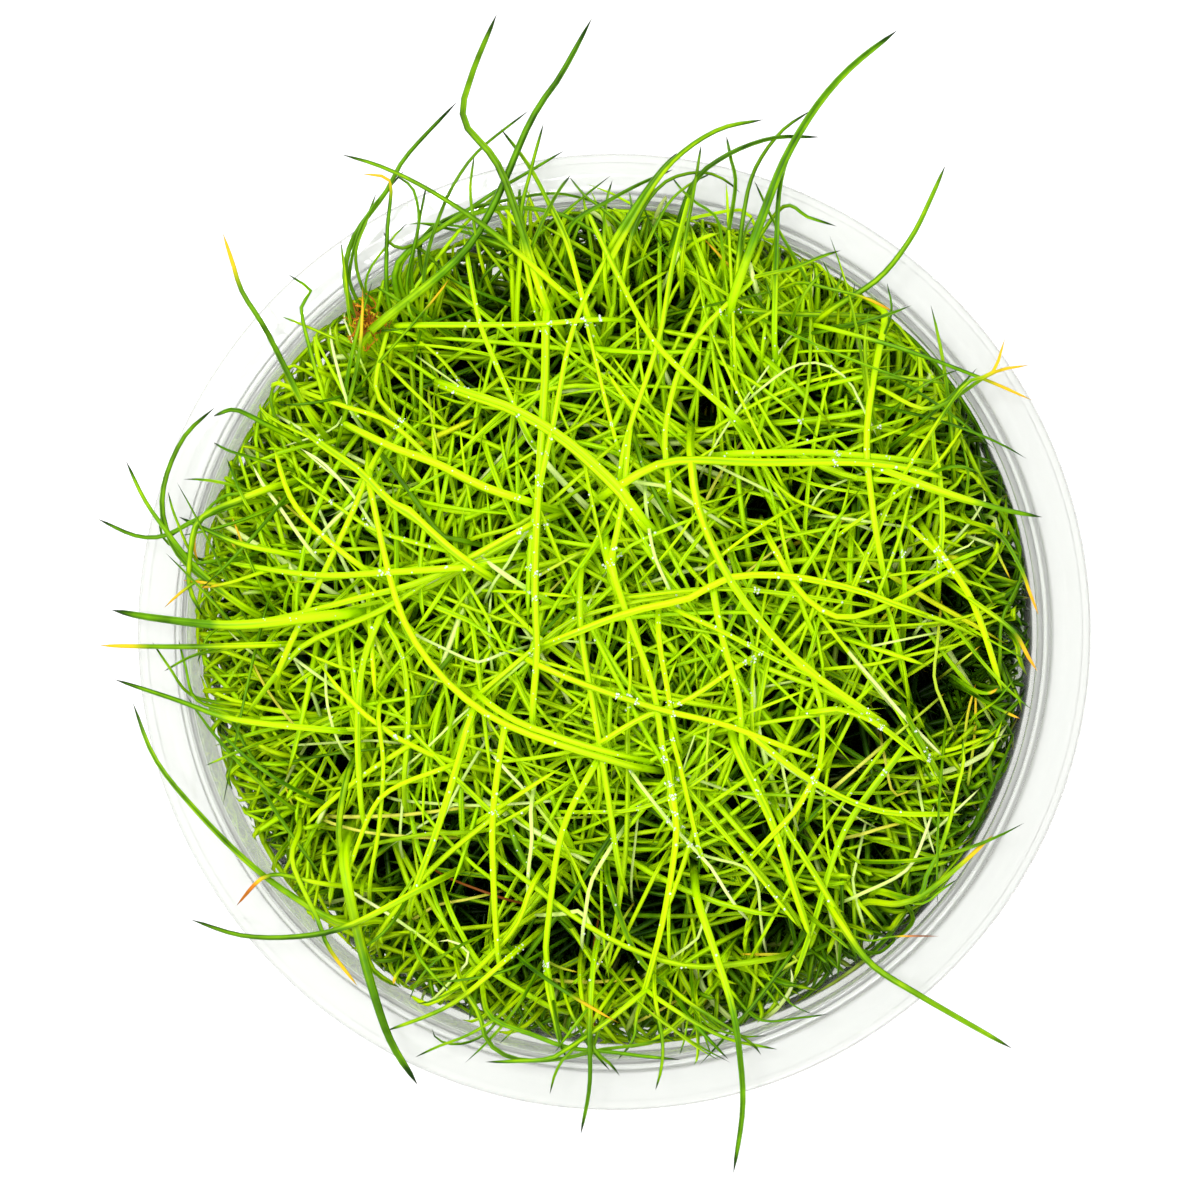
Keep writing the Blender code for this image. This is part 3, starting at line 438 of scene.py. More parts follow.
# Blades that cross the rim: tip's height, thickness, how dry the tip is, then places to the tip
RIM_BLADES = [
    (60.6, 1.0, 0.3, (-6.8, 34.2), (-10.8, 46.2), (-14.5, 51.2), (-13.8, 55.7), (-11.2, 62)),
    (63.6, 1.0, 0.0, (-24, 30.2), (-13.8, 39), (-7.8, 51.2), (-4.8, 55.7), (-1.6, 61.5)),
    (60.5, 1.1, 0.0, (12.7, 34), (15.7, 42.2), (17.7, 47.2), (20.7, 52.2), (24.2, 56.2), (28.9, 59.9)),
    (60.0, 0.8, 0.2, (22.5, 32.3), (27, 35.2), (30.2, 39.2), (32.2, 43.2), (33.6, 46.4)),
    (60.0, 0.7, 0.1, (-26.4, 34.2), (-25.9, 39.2), (-22.4, 44.2), (-20.4, 47.7), (-15.2, 53.2)),
    (64.0, 0.7, 0.0, (-4.8, 34.2), (-11.8, 40.2), (-17.8, 44.2), (-22.8, 46.7), (-27, 48)),
    (60.5, 0.6, 0.2, (-20.8, 37.2), (-12.8, 43.2), (-7.8, 46.2), (-4.4, 48.2)),
    (60.2, 0.6, 0.1, (-7.8, 34.2), (-8.8, 41.2), (-7.8, 46.2), (-6.5, 51)),
    (60.2, 0.8, 0.0, (0.2, 37.2), (4.2, 44.2), (7.2, 47.7), (11.2, 50.2), (15.6, 51.1)),
    (60.2, 0.7, 0.2, (8.2, 44.2), (11.2, 47.2), (16.2, 49.2), (21.2, 49.3)),
    (60.0, 0.6, 0.2, (12.7, 44.2), (12.3, 47), (11.8, 49.5)),
    (63.0, 0.6, 0.3, (17.2, 42.2), (20, 41.3), (22.8, 40.4)),
    (61.0, 0.8, 0.4, (-30.6, 22.5), (-34.5, 30.2), (-37, 34.2), (-38, 37.2), (-39, 40.2)),
    (60.2, 0.6, 0.3, (-28.9, 24.2), (-31, 32.2), (-30, 34.2), (-32.4, 36)),
    (59.8, 0.8, 0.2, (-37.9, 3.2), (-43, 7.2), (-45, 11.2), (-44.9, 15.2), (-42.9, 19.7),
     (-39.8, 22.6)),
    (60.0, 0.7, 0.3, (-37.9, 3.2), (-41.9, 6.7), (-44.4, 9.7), (-46.9, 13.2), (-48.9, 17.3)),
    (59.6, 0.7, 0.1, (-37.9, 12.7), (-41.9, 11.2), (-44.9, 9.7), (-47.9, 9.7), (-51.8, 11.4)),
    (60.4, 1.3, 0.1, (-27.9, 1.7), (-37.9, 0.7), (-45.9, 1.4), (-50.4, 2.2)),
    (59.6, 0.8, 0.4, (-34.9, -1.3), (-42.9, -1.5), (-51.6, -1.4)),
    (59.9, 0.8, 0.1, (-28.9, -9.8), (-37.9, -8.8), (-43.9, -6.8), (-50.1, -4.8)),
    (61.6, 0.8, 0.2, (-26.9, -29.3), (-32.2, -26.4), (-36.9, -22.8), (-41.9, -17.8),
     (-45.9, -12.8), (-48.2, -7.1)),
    (60.2, 0.8, 0.1, (-18.9, -25.8), (-25.9, -29.4), (-30.9, -30.6), (-36.9, -30.6), (-42.3, -29)),
    (60.0, 0.7, 0.8, (-28.9, -25.3), (-31.7, -24.7), (-33.5, -24.4), (-35.3, -25), (-37.6, -27.6)),
    (60.2, 0.7, 0.4, (-31.9, -23.2), (-29.4, -28.8), (-28.2, -31.8), (-25.3, -35.6)),
    (60.0, 1.3, 0.1, (-26.6, -23.8), (-25.5, -29.4), (-24, -35.2), (-22, -41), (-19.2, -45.5)),
    (60.0, 0.7, 0.1, (-1.6, -34), (-1.9, -39.8), (-1.9, -45.3), (-2.8, -50.3)),
    (60.6, 0.9, 0.0, (9.2, -27.6), (12.2, -36.8), (13.2, -42.8), (13.4, -47.8), (12.5, -54)),
    (60.0, 0.6, 0.2, (4.7, -36.8), (5.4, -40.8), (5.3, -43.5), (4.7, -45.8)),
    (60.0, 0.6, 0.2, (5.2, -36.8), (11.2, -40.3), (16.9, -41.6)),
    (60.2, 0.9, 0.0, (23.2, -29), (26.2, -33), (31.2, -36.2), (40.2, -41.3)),
    (60.0, 0.8, 0.4, (28.9, -27), (31.5, -26), (35, -23.2), (38.3, -20.1)),
    (60.0, 0.9, 0.3, (27.2, 16.2), (34.2, 13.7), (39.2, 12.2), (43.2, 11.4)),
    (60.0, 0.6, 0.4, (27.2, 24.2), (32.2, 22.2), (38.2, 25.7), (41.9, 26.5)),
    (62.0, 0.6, 0.4, (29.2, 15.2), (35.2, 24.2), (38.2, 25.7), (39.5, 29.2)),
    (60.0, 0.6, 0.4, (22.2, 30.2), (29.2, 28.2), (37.2, 25.2), (42.2, 23)),
    (59.8, 0.7, 0.5, (36.2, 3.2), (40.2, 0.2), (41.7, -2.3), (42.7, -3.9)),
    (59.8, 0.6, 0.5, (38.9, 9.8), (41.1, 6.2), (41.8, 4.3), (42.8, 1.7)),
    (59.6, 0.3, 0.95, (25.9, -30.7), (28.1, -30.3), (30.4, -30.2), (33, -30.2)),
    (59.8, 0.3, 0.2, (18, -36.8), (19.5, -37.7), (20.4, -38)),
    (59.8, 0.4, 0.2, (15, -38.6), (19.3, -38.4), (22, -38)),
    (59.4, 0.9, 0.0, (-35, 14.2), (-37.5, 13.2), (-40, 12.2), (-41.7, 10.8), (-42.3, 8),
     (-42.4, 4.5), (-41, 1.5)),
    (59.6, 0.5, 0.5, (-36.8, 13.9), (-38.5, 13.8), (-40.3, 12.6), (-41.6, 10.5), (-41.9, 8.5),
     (-41.4, 6.5)),
    (59.8, 0.8, 0.0, (-33, 8), (-37, 8.8), (-40, 10), (-43.5, 11.6)),
    (59.6, 0.5, 0.6, (-37.5, 4.6), (-41.3, 5), (-43.1, 5.2)),
    (59.4, 0.6, 0.4, (-35, 6), (-38.5, 4.9), (-41.7, 4.4)),
    (59.2, 0.5, 0.0, (-36, 12), (-37, 13.6), (-38.6, 17.5)),
    (59.6, 0.8, 0.0, (-34.8, 21), (-36.3, 21.8), (-38, 22.4), (-40, 21.7)),
    (59.4, 0.5, 0.0, (-36, 17.5), (-38.5, 18.3), (-40, 19.1)),
    (59.8, 0.5, 0.0, (-41.5, -7), (-42.8, -3.5), (-43.5, -0.8)),
    (59.8, 0.5, 0.0, (-42, -6.5), (-44.5, -3.5), (-46.2, -1)),
    (59.6, 0.5, 0.2, (-40, -1.8), (-42.5, -2.6), (-45, -4)),
    (59.2, 0.45, 0.0, (-40, 0), (-40.9, -1.2), (-41.6, -3.2)),
    (60.2, 0.4, 0.0, (-44.7, 9), (-45, 13), (-45.1, 15.8)),
    (60.0, 0.5, 0.0, (-41.5, 7), (-43.8, 11.5), (-44.6, 14.2)),
    (60.4, 0.7, 0.1, (-2.2, 32), (-4, 38.5), (-5.8, 42.5), (-8, 46.7), (-10.9, 50.5)),
    (60.2, 0.5, 0.0, (-13, 38), (-13.6, 41.5), (-13.9, 44.5), (-13.5, 47.8)),
    (60.3, 0.5, 0.0, (-18.8, 33), (-18.2, 38), (-16.9, 42), (-15.5, 45), (-13, 48.3), (-7.9, 52.3)),
    (60.0, 0.5, 0.0, (-24.8, 34.5), (-25.5, 38), (-24.5, 41), (-23.4, 44.1)),
    (60.0, 0.5, 0.0, (-25.9, 34.5), (-26, 37), (-25, 40.5), (-23.5, 43), (-20.5, 46.4)),
    (60.2, 0.6, 0.4, (-22.3, 34), (-22.3, 40), (-21.9, 44.6), (-22.6, 45.7), (-24.9, 46)),
    (60.1, 0.5, 0.0, (-19.9, 36), (-19.1, 41), (-19.5, 44), (-20.4, 45.2), (-21.8, 45.9)),
    (60.0, 0.45, 0.0, (-20.3, 35), (-19.3, 40), (-18.7, 43), (-18.3, 45)),
    (59.4, 0.6, 0.0, (-19, 38.5), (-20.8, 38.5), (-22, 39), (-22.7, 40.2)),
    (59.4, 0.4, 0.0, (-24.5, 35), (-22, 39.2), (-20.3, 41)),
    (60.0, 0.5, 0.0, (-26, 31), (-26.6, 36), (-27, 39.3)),
    (60.4, 0.7, 0.0, (-21.5, 36.5), (-17, 40.5), (-12, 42.3), (-7, 42.3), (-3, 41), (2, 37.5)),
    (60.0, 0.5, 0.0, (-19, 39), (-15, 42), (-10, 43.3), (-5.5, 43.9), (-2, 43.2), (1, 42)),
    (60.0, 0.6, 0.0, (-7.5, 39), (-6.2, 42), (-4.9, 44.3), (-3.8, 45.7)),
    (59.8, 0.45, 0.0, (2, 40), (-0.6, 42.3), (-2.4, 43.7), (-3.9, 45.5)),
    (60.0, 0.5, 0.2, (-0.4, 36), (-0.4, 41), (-0.1, 43.5), (0.4, 45.2)),
    (60.2, 0.6, 0.0, (-3.5, 41), (0, 43.1), (3, 44.7), (6.5, 46.2)),
    (60.4, 0.8, 0.2, (0.5, 39), (3, 43), (5, 45.8), (6.9, 47.9)),
    (60.2, 0.55, 0.0, (1.6, 36), (2.8, 41), (5.5, 44.8), (9, 45.9), (11.5, 45.2), (13.2, 43.8)),
    (59.8, 0.45, 0.0, (4, 39), (6, 42.8), (8.3, 44.8), (10.4, 45.8)),
    (60.2, 0.55, 0.0, (7.5, 38), (8.2, 42), (8.8, 45.5), (9.3, 48.7)),
    (60.4, 0.6, 0.0, (12.9, 36), (13.5, 41.5), (14.6, 46), (17.2, 49.8), (20.3, 52)),
    (60.4, 0.7, 0.0, (16.6, 30), (16.8, 38), (17.1, 44), (18.2, 48), (20.4, 52.2)),
    (60.0, 0.5, 0.0, (20, 34.5), (18.5, 37.5), (16.5, 41), (14.6, 45)),
    (59.8, 0.6, 0.0, (15, 35.5), (18.5, 36.3), (21.3, 37.4), (23.2, 38)),
    (59.4, 0.4, 0.0, (23, 33), (22.5, 34.6), (21.4, 37)),
    (59.4, 0.4, 0.0, (22.2, 32.5), (22.8, 34.2), (23.5, 36)),
    (59.4, 0.4, 0.0, (24.2, 31.5), (24.6, 34.8)),
    (59.4, 0.4, 0.0, (13.4, 38), (13.8, 40.3), (14.5, 41.5)),
    (59.4, 0.4, 0.0, (2.8, 40), (2.4, 42.2), (2.1, 44)),
    (59.8, 0.45, 0.0, (11, 41), (9, 42.7), (7.5, 44), (6.3, 45.5)),
    (59.4, 0.4, 0.0, (28.2, 31.5), (27.8, 34.8)),
    (59.6, 0.5, 0.5, (19, 34.8), (22, 34.2), (25.5, 33.3), (28.6, 31.8)),
    (60.4, 0.7, 0.0, (2.4, -36.9), (-0.5, -39.2), (-4, -41.6), (-6, -42.7), (-9.5, -43),
     (-12.4, -43.1)),
    (59.9, 0.6, 0.0, (-14.5, -35.8), (-13, -38.3), (-12.4, -40.6), (-11, -42.1), (-8.5, -42.9),
     (-4.6, -42.7),
     (-0.9, -41.8), (3.3, -41.2), (6.5, -40.3)),
    (60.6, 0.65, 0.0, (-11.9, -38.5), (-7.7, -40.3), (-4, -41.6), (0.2, -42), (3.6, -42.4),
     (7.3, -42.7)),
    (60.0, 0.6, 0.0, (-2.6, -37), (-1.9, -39.6), (-1.3, -41.9), (0.2, -43.2), (1.15, -44.4)),
    (59.8, 0.5, 0.0, (-3.8, -38), (-3, -39.5), (-1.9, -41.5), (0.2, -43.9)),
    (59.6, 0.5, 0.0, (-6.2, -35.5), (-5.6, -38.3), (-4.8, -41.5), (-4, -42.8)),
    (60.0, 0.55, 0.0, (-1, -38), (-2.5, -40.4), (-3.8, -42), (-4.6, -42.8), (-5.4, -44.3),
     (-5.9, -46.3)),
    (60.2, 0.6, 0.0, (7.8, -36.8), (11.4, -39.1), (14.3, -41), (15.3, -42.2)),
    (59.6, 0.4, 0.0, (10, -39.2), (13.3, -40.3), (15.8, -40.2)),
    (59.4, 0.38, 0.0, (9.3, -39.2), (9.7, -40.5), (10.3, -42.3)),
    (59.4, 0.38, 0.0, (7.9, -39), (7.6, -40.7), (7.1, -42.3)),
    (59.6, 0.5, 0.0, (2.8, -38.6), (2.5, -40.7), (0.9, -42.8)),
    (59.8, 0.5, 0.0, (-11, -38.5), (-13.2, -39.9), (-14.8, -40.7), (-17.2, -41.6), (-19.5, -42.7)),
    (59.6, 0.45, 0.0, (-11.4, -39.2), (-12.4, -40.3), (-14.3, -41.2), (-16.1, -41.3),
     (-17.4, -40.7), (-17.8, -39.7)),
    (59.4, 0.34, 0.0, (-9.2, -39.6), (-10.3, -40.6), (-11, -41.3)),
    (60.4, 0.7, 0.0, (-10.5, -33), (-13, -35.2), (-15.6, -37.2), (-18.2, -38.5), (-22.5, -40.1)),
    (59.4, 0.36, 0.0, (-16, -36.2), (-18, -37.1), (-19.3, -37.3)),
    (59.4, 0.38, 0.0, (38.2, -0.9), (40, -1.9), (41.7, -2.8)),
    (59.2, 0.34, 0.0, (38.6, -6.8), (39.8, -5.4), (40.6, -4.3)),
    (59.2, 0.38, 0.0, (37.4, -10.6), (39, -8.8), (40, -7.7)),
    (59.2, 0.38, 0.0, (35.4, -11.8), (37.2, -11.2), (39.3, -10.2)),
    (59.6, 0.5, 0.0, (31, -27), (33.2, -25.6), (34.8, -24.5)),
    (60.2, 0.65, 0.0, (30.8, -26.5), (31.8, -24), (33, -21.8), (34, -18.8), (34.8, -15.4),
     (35.4, -12.8), (35.2, -10.2)),
]

# Hollows in the tangle, where the eye falls into the dark: place at the rim's plane, and radius
HOLLOWS = [
    (33, -6, 3.0), (-13.8, -27.7, 2.6), (-12.5, 35.5, 3.4), (16.6, -30.4, 2.4), (9.6, 22, 1.8),
    (15.2, 12.3, 1.6), (-2, 37.8, 3.0), (33.8, 3.4, 1.8), (35.5, -3, 1.8), (1.4, -34, 2.2),
    (12.4, -28.9, 1.6), (24.8, -11.2, 1.8), (27.2, -22.7, 1.8), (-4.7, -31.9, 1.6), (17.6, -7.3, 1.4),
    (12.1, -17.2, 1.4), (3.6, -27.6, 1.6), (-22.9, -24.1, 1.4), (-8.2, -33.3, 1.4), (-28.1, -13.9, 1.2),
    (-5.3, -2.3, 1.2), (1.8, 1.6, 1.0), (-3.5, -17.5, 1.1), (5.2, 37.3, 2.0), (-13.6, -7, 1.0),
]

# Swollen joints that show on blades, at the rim's plane
KNOTS = [
    (-29.7, -6.1), (-20.3, 12.4), (-20.6, -15.8), (6.4, -16.4), (33.1, 7.5), (12.7, 22.0),
    (26.3, -17.4), (12.2, 9.2), (-2.7, 1.9), (19.4, -3.0), (0.2, 7.1), (-24.2, 15.8),
]
KNOT_HEIGHT = 64.0

# Where the dead brown fibres lie: place at the rim's plane, and height
DRY_KNOT = (-24.5, 31.0, 62.0)


def linear(hex_colour):
    """A linear RGBA colour from an sRGB hex value."""
    parts = [int(hex_colour[i:i + 2], 16) / 255.0 for i in (1, 3, 5)]
    return (*[c / 12.92 if c <= 0.04045 else ((c + 0.055) / 1.055) ** 2.4 for c in parts], 1.0)


def node(tree, kind, inputs=None, stops=None, **settings):
    """Adds one node. Settings are its properties, and inputs are values, or outputs to link from.

    A colour Mix node takes its factor at 0 and its colours at 6 and 7, and gives its colour at 2.
    """
    made = tree.nodes.new(kind)
    for key, value in settings.items():
        setattr(made, key, value)
    for key, value in (inputs or {}).items():
        if isinstance(value, bpy.types.NodeSocket):
            tree.links.new(value, made.inputs[key])
        else:
            made.inputs[key].default_value = value
    if stops:
        elements = made.color_ramp.elements
        while len(elements) < len(stops):
            elements.new(1.0)
        for element, (place, colour) in zip(elements, stops):
            element.position = place
            element.color = linear(colour)
    return made


def new_material(name, **values):
    """A material with one Principled shader, whose even values are set on its own sockets."""
    made = bpy.data.materials.new(name)
    made.use_nodes = True
    shader = made.node_tree.nodes["Principled BSDF"]
    for key, value in values.items():
        shader.inputs[key.replace("_", " ")].default_value = value
    return made, made.node_tree, shader


def living_grass():
    """Living hairgrass: thin round quills with a waxy, finely ribbed skin.

    The eye sees glossy lime on the lit top, deepening to dark green in the shade below, with fine
    lines along each quill, bleached and dry stretches, and brownish tips.
    """
    made, tree, shader = new_material("hairgrass quill, waxy", IOR=1.42, Specular_IOR_Level=0.1)
    # The light attribute is mostly painted light and shade: it darkens the colour down into the tangle,
    # near the wall and in the east gap, and lightens it where light comes in through the wall. At the
    # fine tips of the rim and fringe blades it darkens them too
    light, bleach, dry, tone = (
        node(tree, "ShaderNodeAttribute", attribute_name=key).outputs["Fac"]
        for key in ("light", "bleach", "dry", "tone")
    )
    place = node(tree, "ShaderNodeTexCoord")
    along = node(tree, "ShaderNodeUVMap", uv_map="blade")
    # Ribs: six or so round a quill, drawn out along it, and not the same on any two quills
    apart = node(tree, "ShaderNodeMath", {0: tone, 1: 37.0}, operation="MULTIPLY")
    stretch = node(
        tree, "ShaderNodeMapping",
        {"Vector": along.outputs[0], "Location": apart.outputs[0], "Scale": (6.0, 2.5, 1.0)},
    )
    ribs = node(tree, "ShaderNodeTexNoise", {"Vector": stretch.outputs[0], "Scale": 1.0, "Detail": 1.0})
    # Mottling, patches of a millimetre or two
    patches = node(
        tree, "ShaderNodeTexNoise",
        {"Vector": place.outputs["Object"], "Scale": 0.45 / MM, "Detail": 2.0},
    )
    shift = node(
        tree, "ShaderNodeMath", {0: patches.outputs[0], 1: 0.36, 2: light}, operation="MULTIPLY_ADD",
    )
    ribbed = node(
        tree, "ShaderNodeMath", {0: ribs.outputs[0], 1: 0.38, 2: shift.outputs[0]},
        operation="MULTIPLY_ADD",
    )
    level = node(tree, "ShaderNodeMath", {0: ribbed.outputs[0], 1: 0.4}, operation="SUBTRACT")
    greens = node(
        tree, "ShaderNodeValToRGB", {0: level.outputs[0]},
        stops=[(0.0, "#0A1601"), (0.2, "#294A03"), (0.42, "#6B9A03"), (0.62, "#B3D003"),
               (0.9, "#C2E802")],
    )
    groove = node(tree, "ShaderNodeMapRange", {0: ribs.outputs[0], 1: 0.34, 2: 0.5, 3: 0.6, 4: 0.0})
    grooved = node(
        tree, "ShaderNodeMix", {0: groove.outputs[0], 6: greens.outputs[0], 7: linear("#8FB03A")},
        data_type="RGBA", blend_type="MULTIPLY",
    )
    cool = node(
        tree, "ShaderNodeMix", {0: tone, 6: grooved.outputs[2], 7: linear("#D0F274")},
        data_type="RGBA", blend_type="MULTIPLY",
    )
    bleached = node(
        tree, "ShaderNodeValToRGB", {0: level.outputs[0]},
        stops=[(0.0, "#242C0C"), (0.35, "#98A63C"), (0.7, "#EEF5AE")],
    )
    pale = node(
        tree, "ShaderNodeMix", {0: bleach, 6: cool.outputs[2], 7: bleached.outputs[0]},
        data_type="RGBA",
    )
    dying = node(
        tree, "ShaderNodeValToRGB", {0: dry},
        stops=[(0.0, "#C9D81A"), (0.45, "#EDB421"), (0.68, "#C9761C"), (1.0, "#5B2E12")],
    )
    dryness = node(tree, "ShaderNodeMapRange", {0: dry, 1: 0.05, 2: 0.45, 3: 0.0, 4: 1.0})
    colour = node(
        tree, "ShaderNodeMix", {0: dryness.outputs[0], 6: pale.outputs[2], 7: dying.outputs[0]},
        data_type="RGBA",
    )
    tree.links.new(colour.outputs[2], shader.inputs["Base Color"])
    wax = node(tree, "ShaderNodeMapRange", {0: patches.outputs[0], 1: 0.3, 2: 0.7, 3: 0.24, 4: 0.4})
    tree.links.new(wax.outputs[0], shader.inputs["Roughness"])
    bump = node(
        tree, "ShaderNodeBump", {"Strength": 0.35, "Distance": 0.05 * MM, "Height": ribs.outputs[0]},
    )
    tree.links.new(bump.outputs[0], shader.inputs["Normal"])
    return made


def clear_polypropylene():
    """Clear polypropylene, injection moulded: glass-clear in the wall, a little milky in the rim.

    The eye sees soft grey lines where the rim doubles back, which painted shade in the colour
    deepens, and slightly wavy gloss.
    """
    made, tree, shader = new_material("clear polypropylene, moulded", IOR=1.49)
    place = node(tree, "ShaderNodeTexCoord")
    # It cools slower in the thick rim, and comes out milkier there
    split = node(tree, "ShaderNodeSeparateXYZ", {0: place.outputs["Object"]})
    low, high = (SHOULDER_HEIGHT - 2.0) * MM, (SHOULDER_HEIGHT + 1.0) * MM
    clearness = node(
        tree, "ShaderNodeMapRange", {0: split.outputs[2], 1: low, 2: high, 3: 1.0, 4: 0.7},
    )
    tree.links.new(clearness.outputs[0], shader.inputs["Transmission Weight"])
    # Painted shade: towards the rim the colour is painted greyer, for the soft grey where the rim
    # doubles back
    low, high = (RIM_TOP - 6.0) * MM, (RIM_TOP - 1.0) * MM
    painted_rim_shade = node(
        tree, "ShaderNodeMapRange", {0: split.outputs[2], 1: low, 2: high, 3: 0.0, 4: 1.0},
    )
    tint = node(
        tree, "ShaderNodeValToRGB", {0: painted_rim_shade.outputs[0]},
        stops=[(0.0, "#F8F9F5"), (1.0, "#DEE0DC")],
    )
    tree.links.new(tint.outputs[0], shader.inputs["Base Color"])
    # Flow waves of a few millimetres, from the moulding
    waves = node(
        tree, "ShaderNodeTexNoise",
        {"Vector": place.outputs["Object"], "Scale": 0.16 / MM, "Detail": 3.0, "Roughness": 0.55},
    )
    haze = node(tree, "ShaderNodeMapRange", {0: waves.outputs[0], 1: 0.35, 2: 0.7, 3: 0.05, 4: 0.14})
    tree.links.new(haze.outputs[0], shader.inputs["Roughness"])
    bump = node(
        tree, "ShaderNodeBump", {"Strength": 0.25, "Distance": 0.12 * MM, "Height": waves.outputs[0]},
    )
    tree.links.new(bump.outputs[0], shader.inputs["Normal"])
    return made


def set_jelly():
    """Agar jelly, poured and set: wet, translucent straw-coloured, a little cloudy."""
    made, tree, shader = new_material("agar jelly, set", IOR=1.34, Transmission_Weight=0.8)
    place = node(tree, "ShaderNodeTexCoord")
    clouds = node(
        tree, "ShaderNodeTexNoise",
        {"Vector": place.outputs["Object"], "Scale": 0.09 / MM, "Detail": 4.0},
    )
    tint = node(
        tree, "ShaderNodeValToRGB", {0: clouds.outputs[0]},
        stops=[(0.3, "#FBF8E6"), (0.55, "#F6F1D6"), (0.75, "#F0E9C4")],
    )
    tree.links.new(tint.outputs[0], shader.inputs["Base Color"])
    wet = node(tree, "ShaderNodeMapRange", {0: clouds.outputs[0], 1: 0.3, 2: 0.7, 3: 0.12, 4: 0.3})
    tree.links.new(wet.outputs[0], shader.inputs["Roughness"])
    return made


def water_with_painted_glint():
    """Clean water in small beads, only partly see-through: its white base colour is a painted glint,
    for the one bright point of light on each.
    """
    made, tree, shader = new_material(
        "water bead, painted glint", IOR=1.33, Transmission_Weight=0.45, Roughness=0.08,
    )
    # Painted glint: the white base colour, with less than half the light let through, stands in for
    # each bead's bright point of light; the noise varies that white a little
    place = node(tree, "ShaderNodeTexCoord")
    haze = node(tree, "ShaderNodeTexNoise", {"Vector": place.outputs["Object"], "Scale": 0.5 / MM})
    tint = node(
        tree, "ShaderNodeValToRGB", {0: haze.outputs[0]}, stops=[(0.3, "#F4FBF2"), (0.7, "#FFFFFF")],
    )
    tree.links.new(tint.outputs[0], shader.inputs["Base Color"])
    return made


def opal_acrylic():
    """A plain opal acrylic table top that glows softly, so that clear things look clear."""
    made, tree, shader = new_material(
        "opal acrylic, lit from below", Roughness=0.6, Emission_Color=linear("#FFFFFF"),
        Emission_Strength=0.7,
    )
    made.cycles.emission_sampling = "NONE"
    place = node(tree, "ShaderNodeTexCoord")
    grain = node(
        tree, "ShaderNodeTexNoise",
        {"Vector": place.outputs["Object"], "Scale": 0.02 / MM, "Detail": 3.0},
    )
    tint = node(
        tree, "ShaderNodeValToRGB", {0: grain.outputs[0]}, stops=[(0.3, "#A9AAA9"), (0.7, "#B2B2B1")],
    )
    tree.links.new(tint.outputs[0], shader.inputs["Base Color"])
    return made


def arc(centre, radius, start, end, points):
    """Points (r, z) on an arc, from one angle in degrees to another."""
    turns = [math.radians(start + (end - start) * i / (points - 1)) for i in range(points)]
    return [(centre[0] + radius * math.cos(a), centre[1] + radius * math.sin(a)) for a in turns]


def turned(name, profile, steps):
    """A round piece: one point, drawn out along the profile (r, z) and spun about the axis."""
    bpy.ops.object.select_all(action="DESELECT")
    bpy.ops.mesh.primitive_plane_add(size=MM, location=(0.0, 0.0, 0.0))
    made = bpy.context.object
    made.name = name
    made.data.name = name
    bpy.ops.object.mode_set(mode="EDIT")
    bpy.ops.mesh.merge(type="CENTER")
    bpy.ops.transform.translate(value=(profile[0][0] * MM, 0.0, profile[0][1] * MM))
    for (r, z), (next_r, next_z) in zip(profile, profile[1:]):
        step = ((next_r - r) * MM, 0.0, (next_z - z) * MM)
        bpy.ops.mesh.extrude_vertices_move(TRANSFORM_OT_translate={"value": step})
    bpy.ops.mesh.select_all(action="SELECT")
    bpy.ops.mesh.spin(steps=steps, angle=math.tau, center=(0.0, 0.0, 0.0), axis=(0.0, 0.0, 1.0))
    bpy.ops.mesh.select_all(action="SELECT")
    bpy.ops.mesh.remove_doubles(threshold=0.01 * MM)
    bpy.ops.mesh.normals_make_consistent(inside=False)
    bpy.ops.object.mode_set(mode="OBJECT")
    bpy.ops.object.shade_smooth_by_angle(angle=math.radians(40.0))
    return made


def cup_shell():
    """The moulded cup: round foot, tapered wall, shoulder, collar, double bead and lipped flange."""
    outer_bead = COLLAR_RADIUS + 0.1
    inner_bead = COLLAR_RADIUS - 0.6
    bead = 0.3
    edge = 0.35
    shoulder = SHOULDER_HEIGHT + SHOULDER_RISE * np.linspace(-0.5, 0.5, 11)
    outside = [
        *arc((outer_bead, RIM_TOP - bead), bead, 180.0, 0.0, 9),
        *arc((outer_bead + bead + 0.4, FLANGE_TOP + 0.4), 0.4, 180.0, 270.0, 6),
        (FLANGE_RADIUS - 2.6, FLANGE_TOP),
        (FLANGE_RADIUS - 2.3, FLANGE_TOP + 0.06),
        (FLANGE_RADIUS - 2.0, FLANGE_TOP),
        *arc((FLANGE_RADIUS - edge, FLANGE_TOP - edge), edge, 90.0, 0.0, 6),
        *arc((FLANGE_RADIUS - 0.25, LIP_BOTTOM + 0.25), 0.25, 0.0, -90.0, 4),
        *arc((FLANGE_RADIUS - WALL + 0.25, LIP_BOTTOM + 0.25), 0.25, -90.0, -180.0, 4),
        (FLANGE_RADIUS - WALL, FLANGE_TOP - WALL),
        *arc((COLLAR_RADIUS + 0.5, FLANGE_TOP - WALL - 0.5), 0.5, 90.0, 180.0, 5),
        *[(float(wall_outside(z)), z) for z in shoulder[::-1]],
        *arc((BASE_RADIUS - FOOT_ROUND, FOOT_ROUND), FOOT_ROUND, 0.0, -90.0, 9),
        (BASE_RADIUS - 5.0, 0.0),
        (BASE_RADIUS - 6.0, 0.25),
        (0.0, 0.25),
    ]
    inside = [
        (0.0, 0.25 + WALL),
        (BASE_RADIUS - 6.5, 0.25 + WALL),
        *arc((BASE_RADIUS - FOOT_ROUND, FOOT_ROUND), FOOT_ROUND - WALL, -90.0, 0.0, 7),
        *[(float(wall_inside(z)), z) for z in shoulder],
        *arc((inner_bead, RIM_TOP - 0.5), bead, 180.0, 0.0, 9),
    ]
    piece = turned("cup_shell", inside + outside, CUP_STEPS)
    piece.data.materials.append(clear_polypropylene())
    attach(piece, "root")
    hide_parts("cup_foot", "cup_wall", "cup_flange")


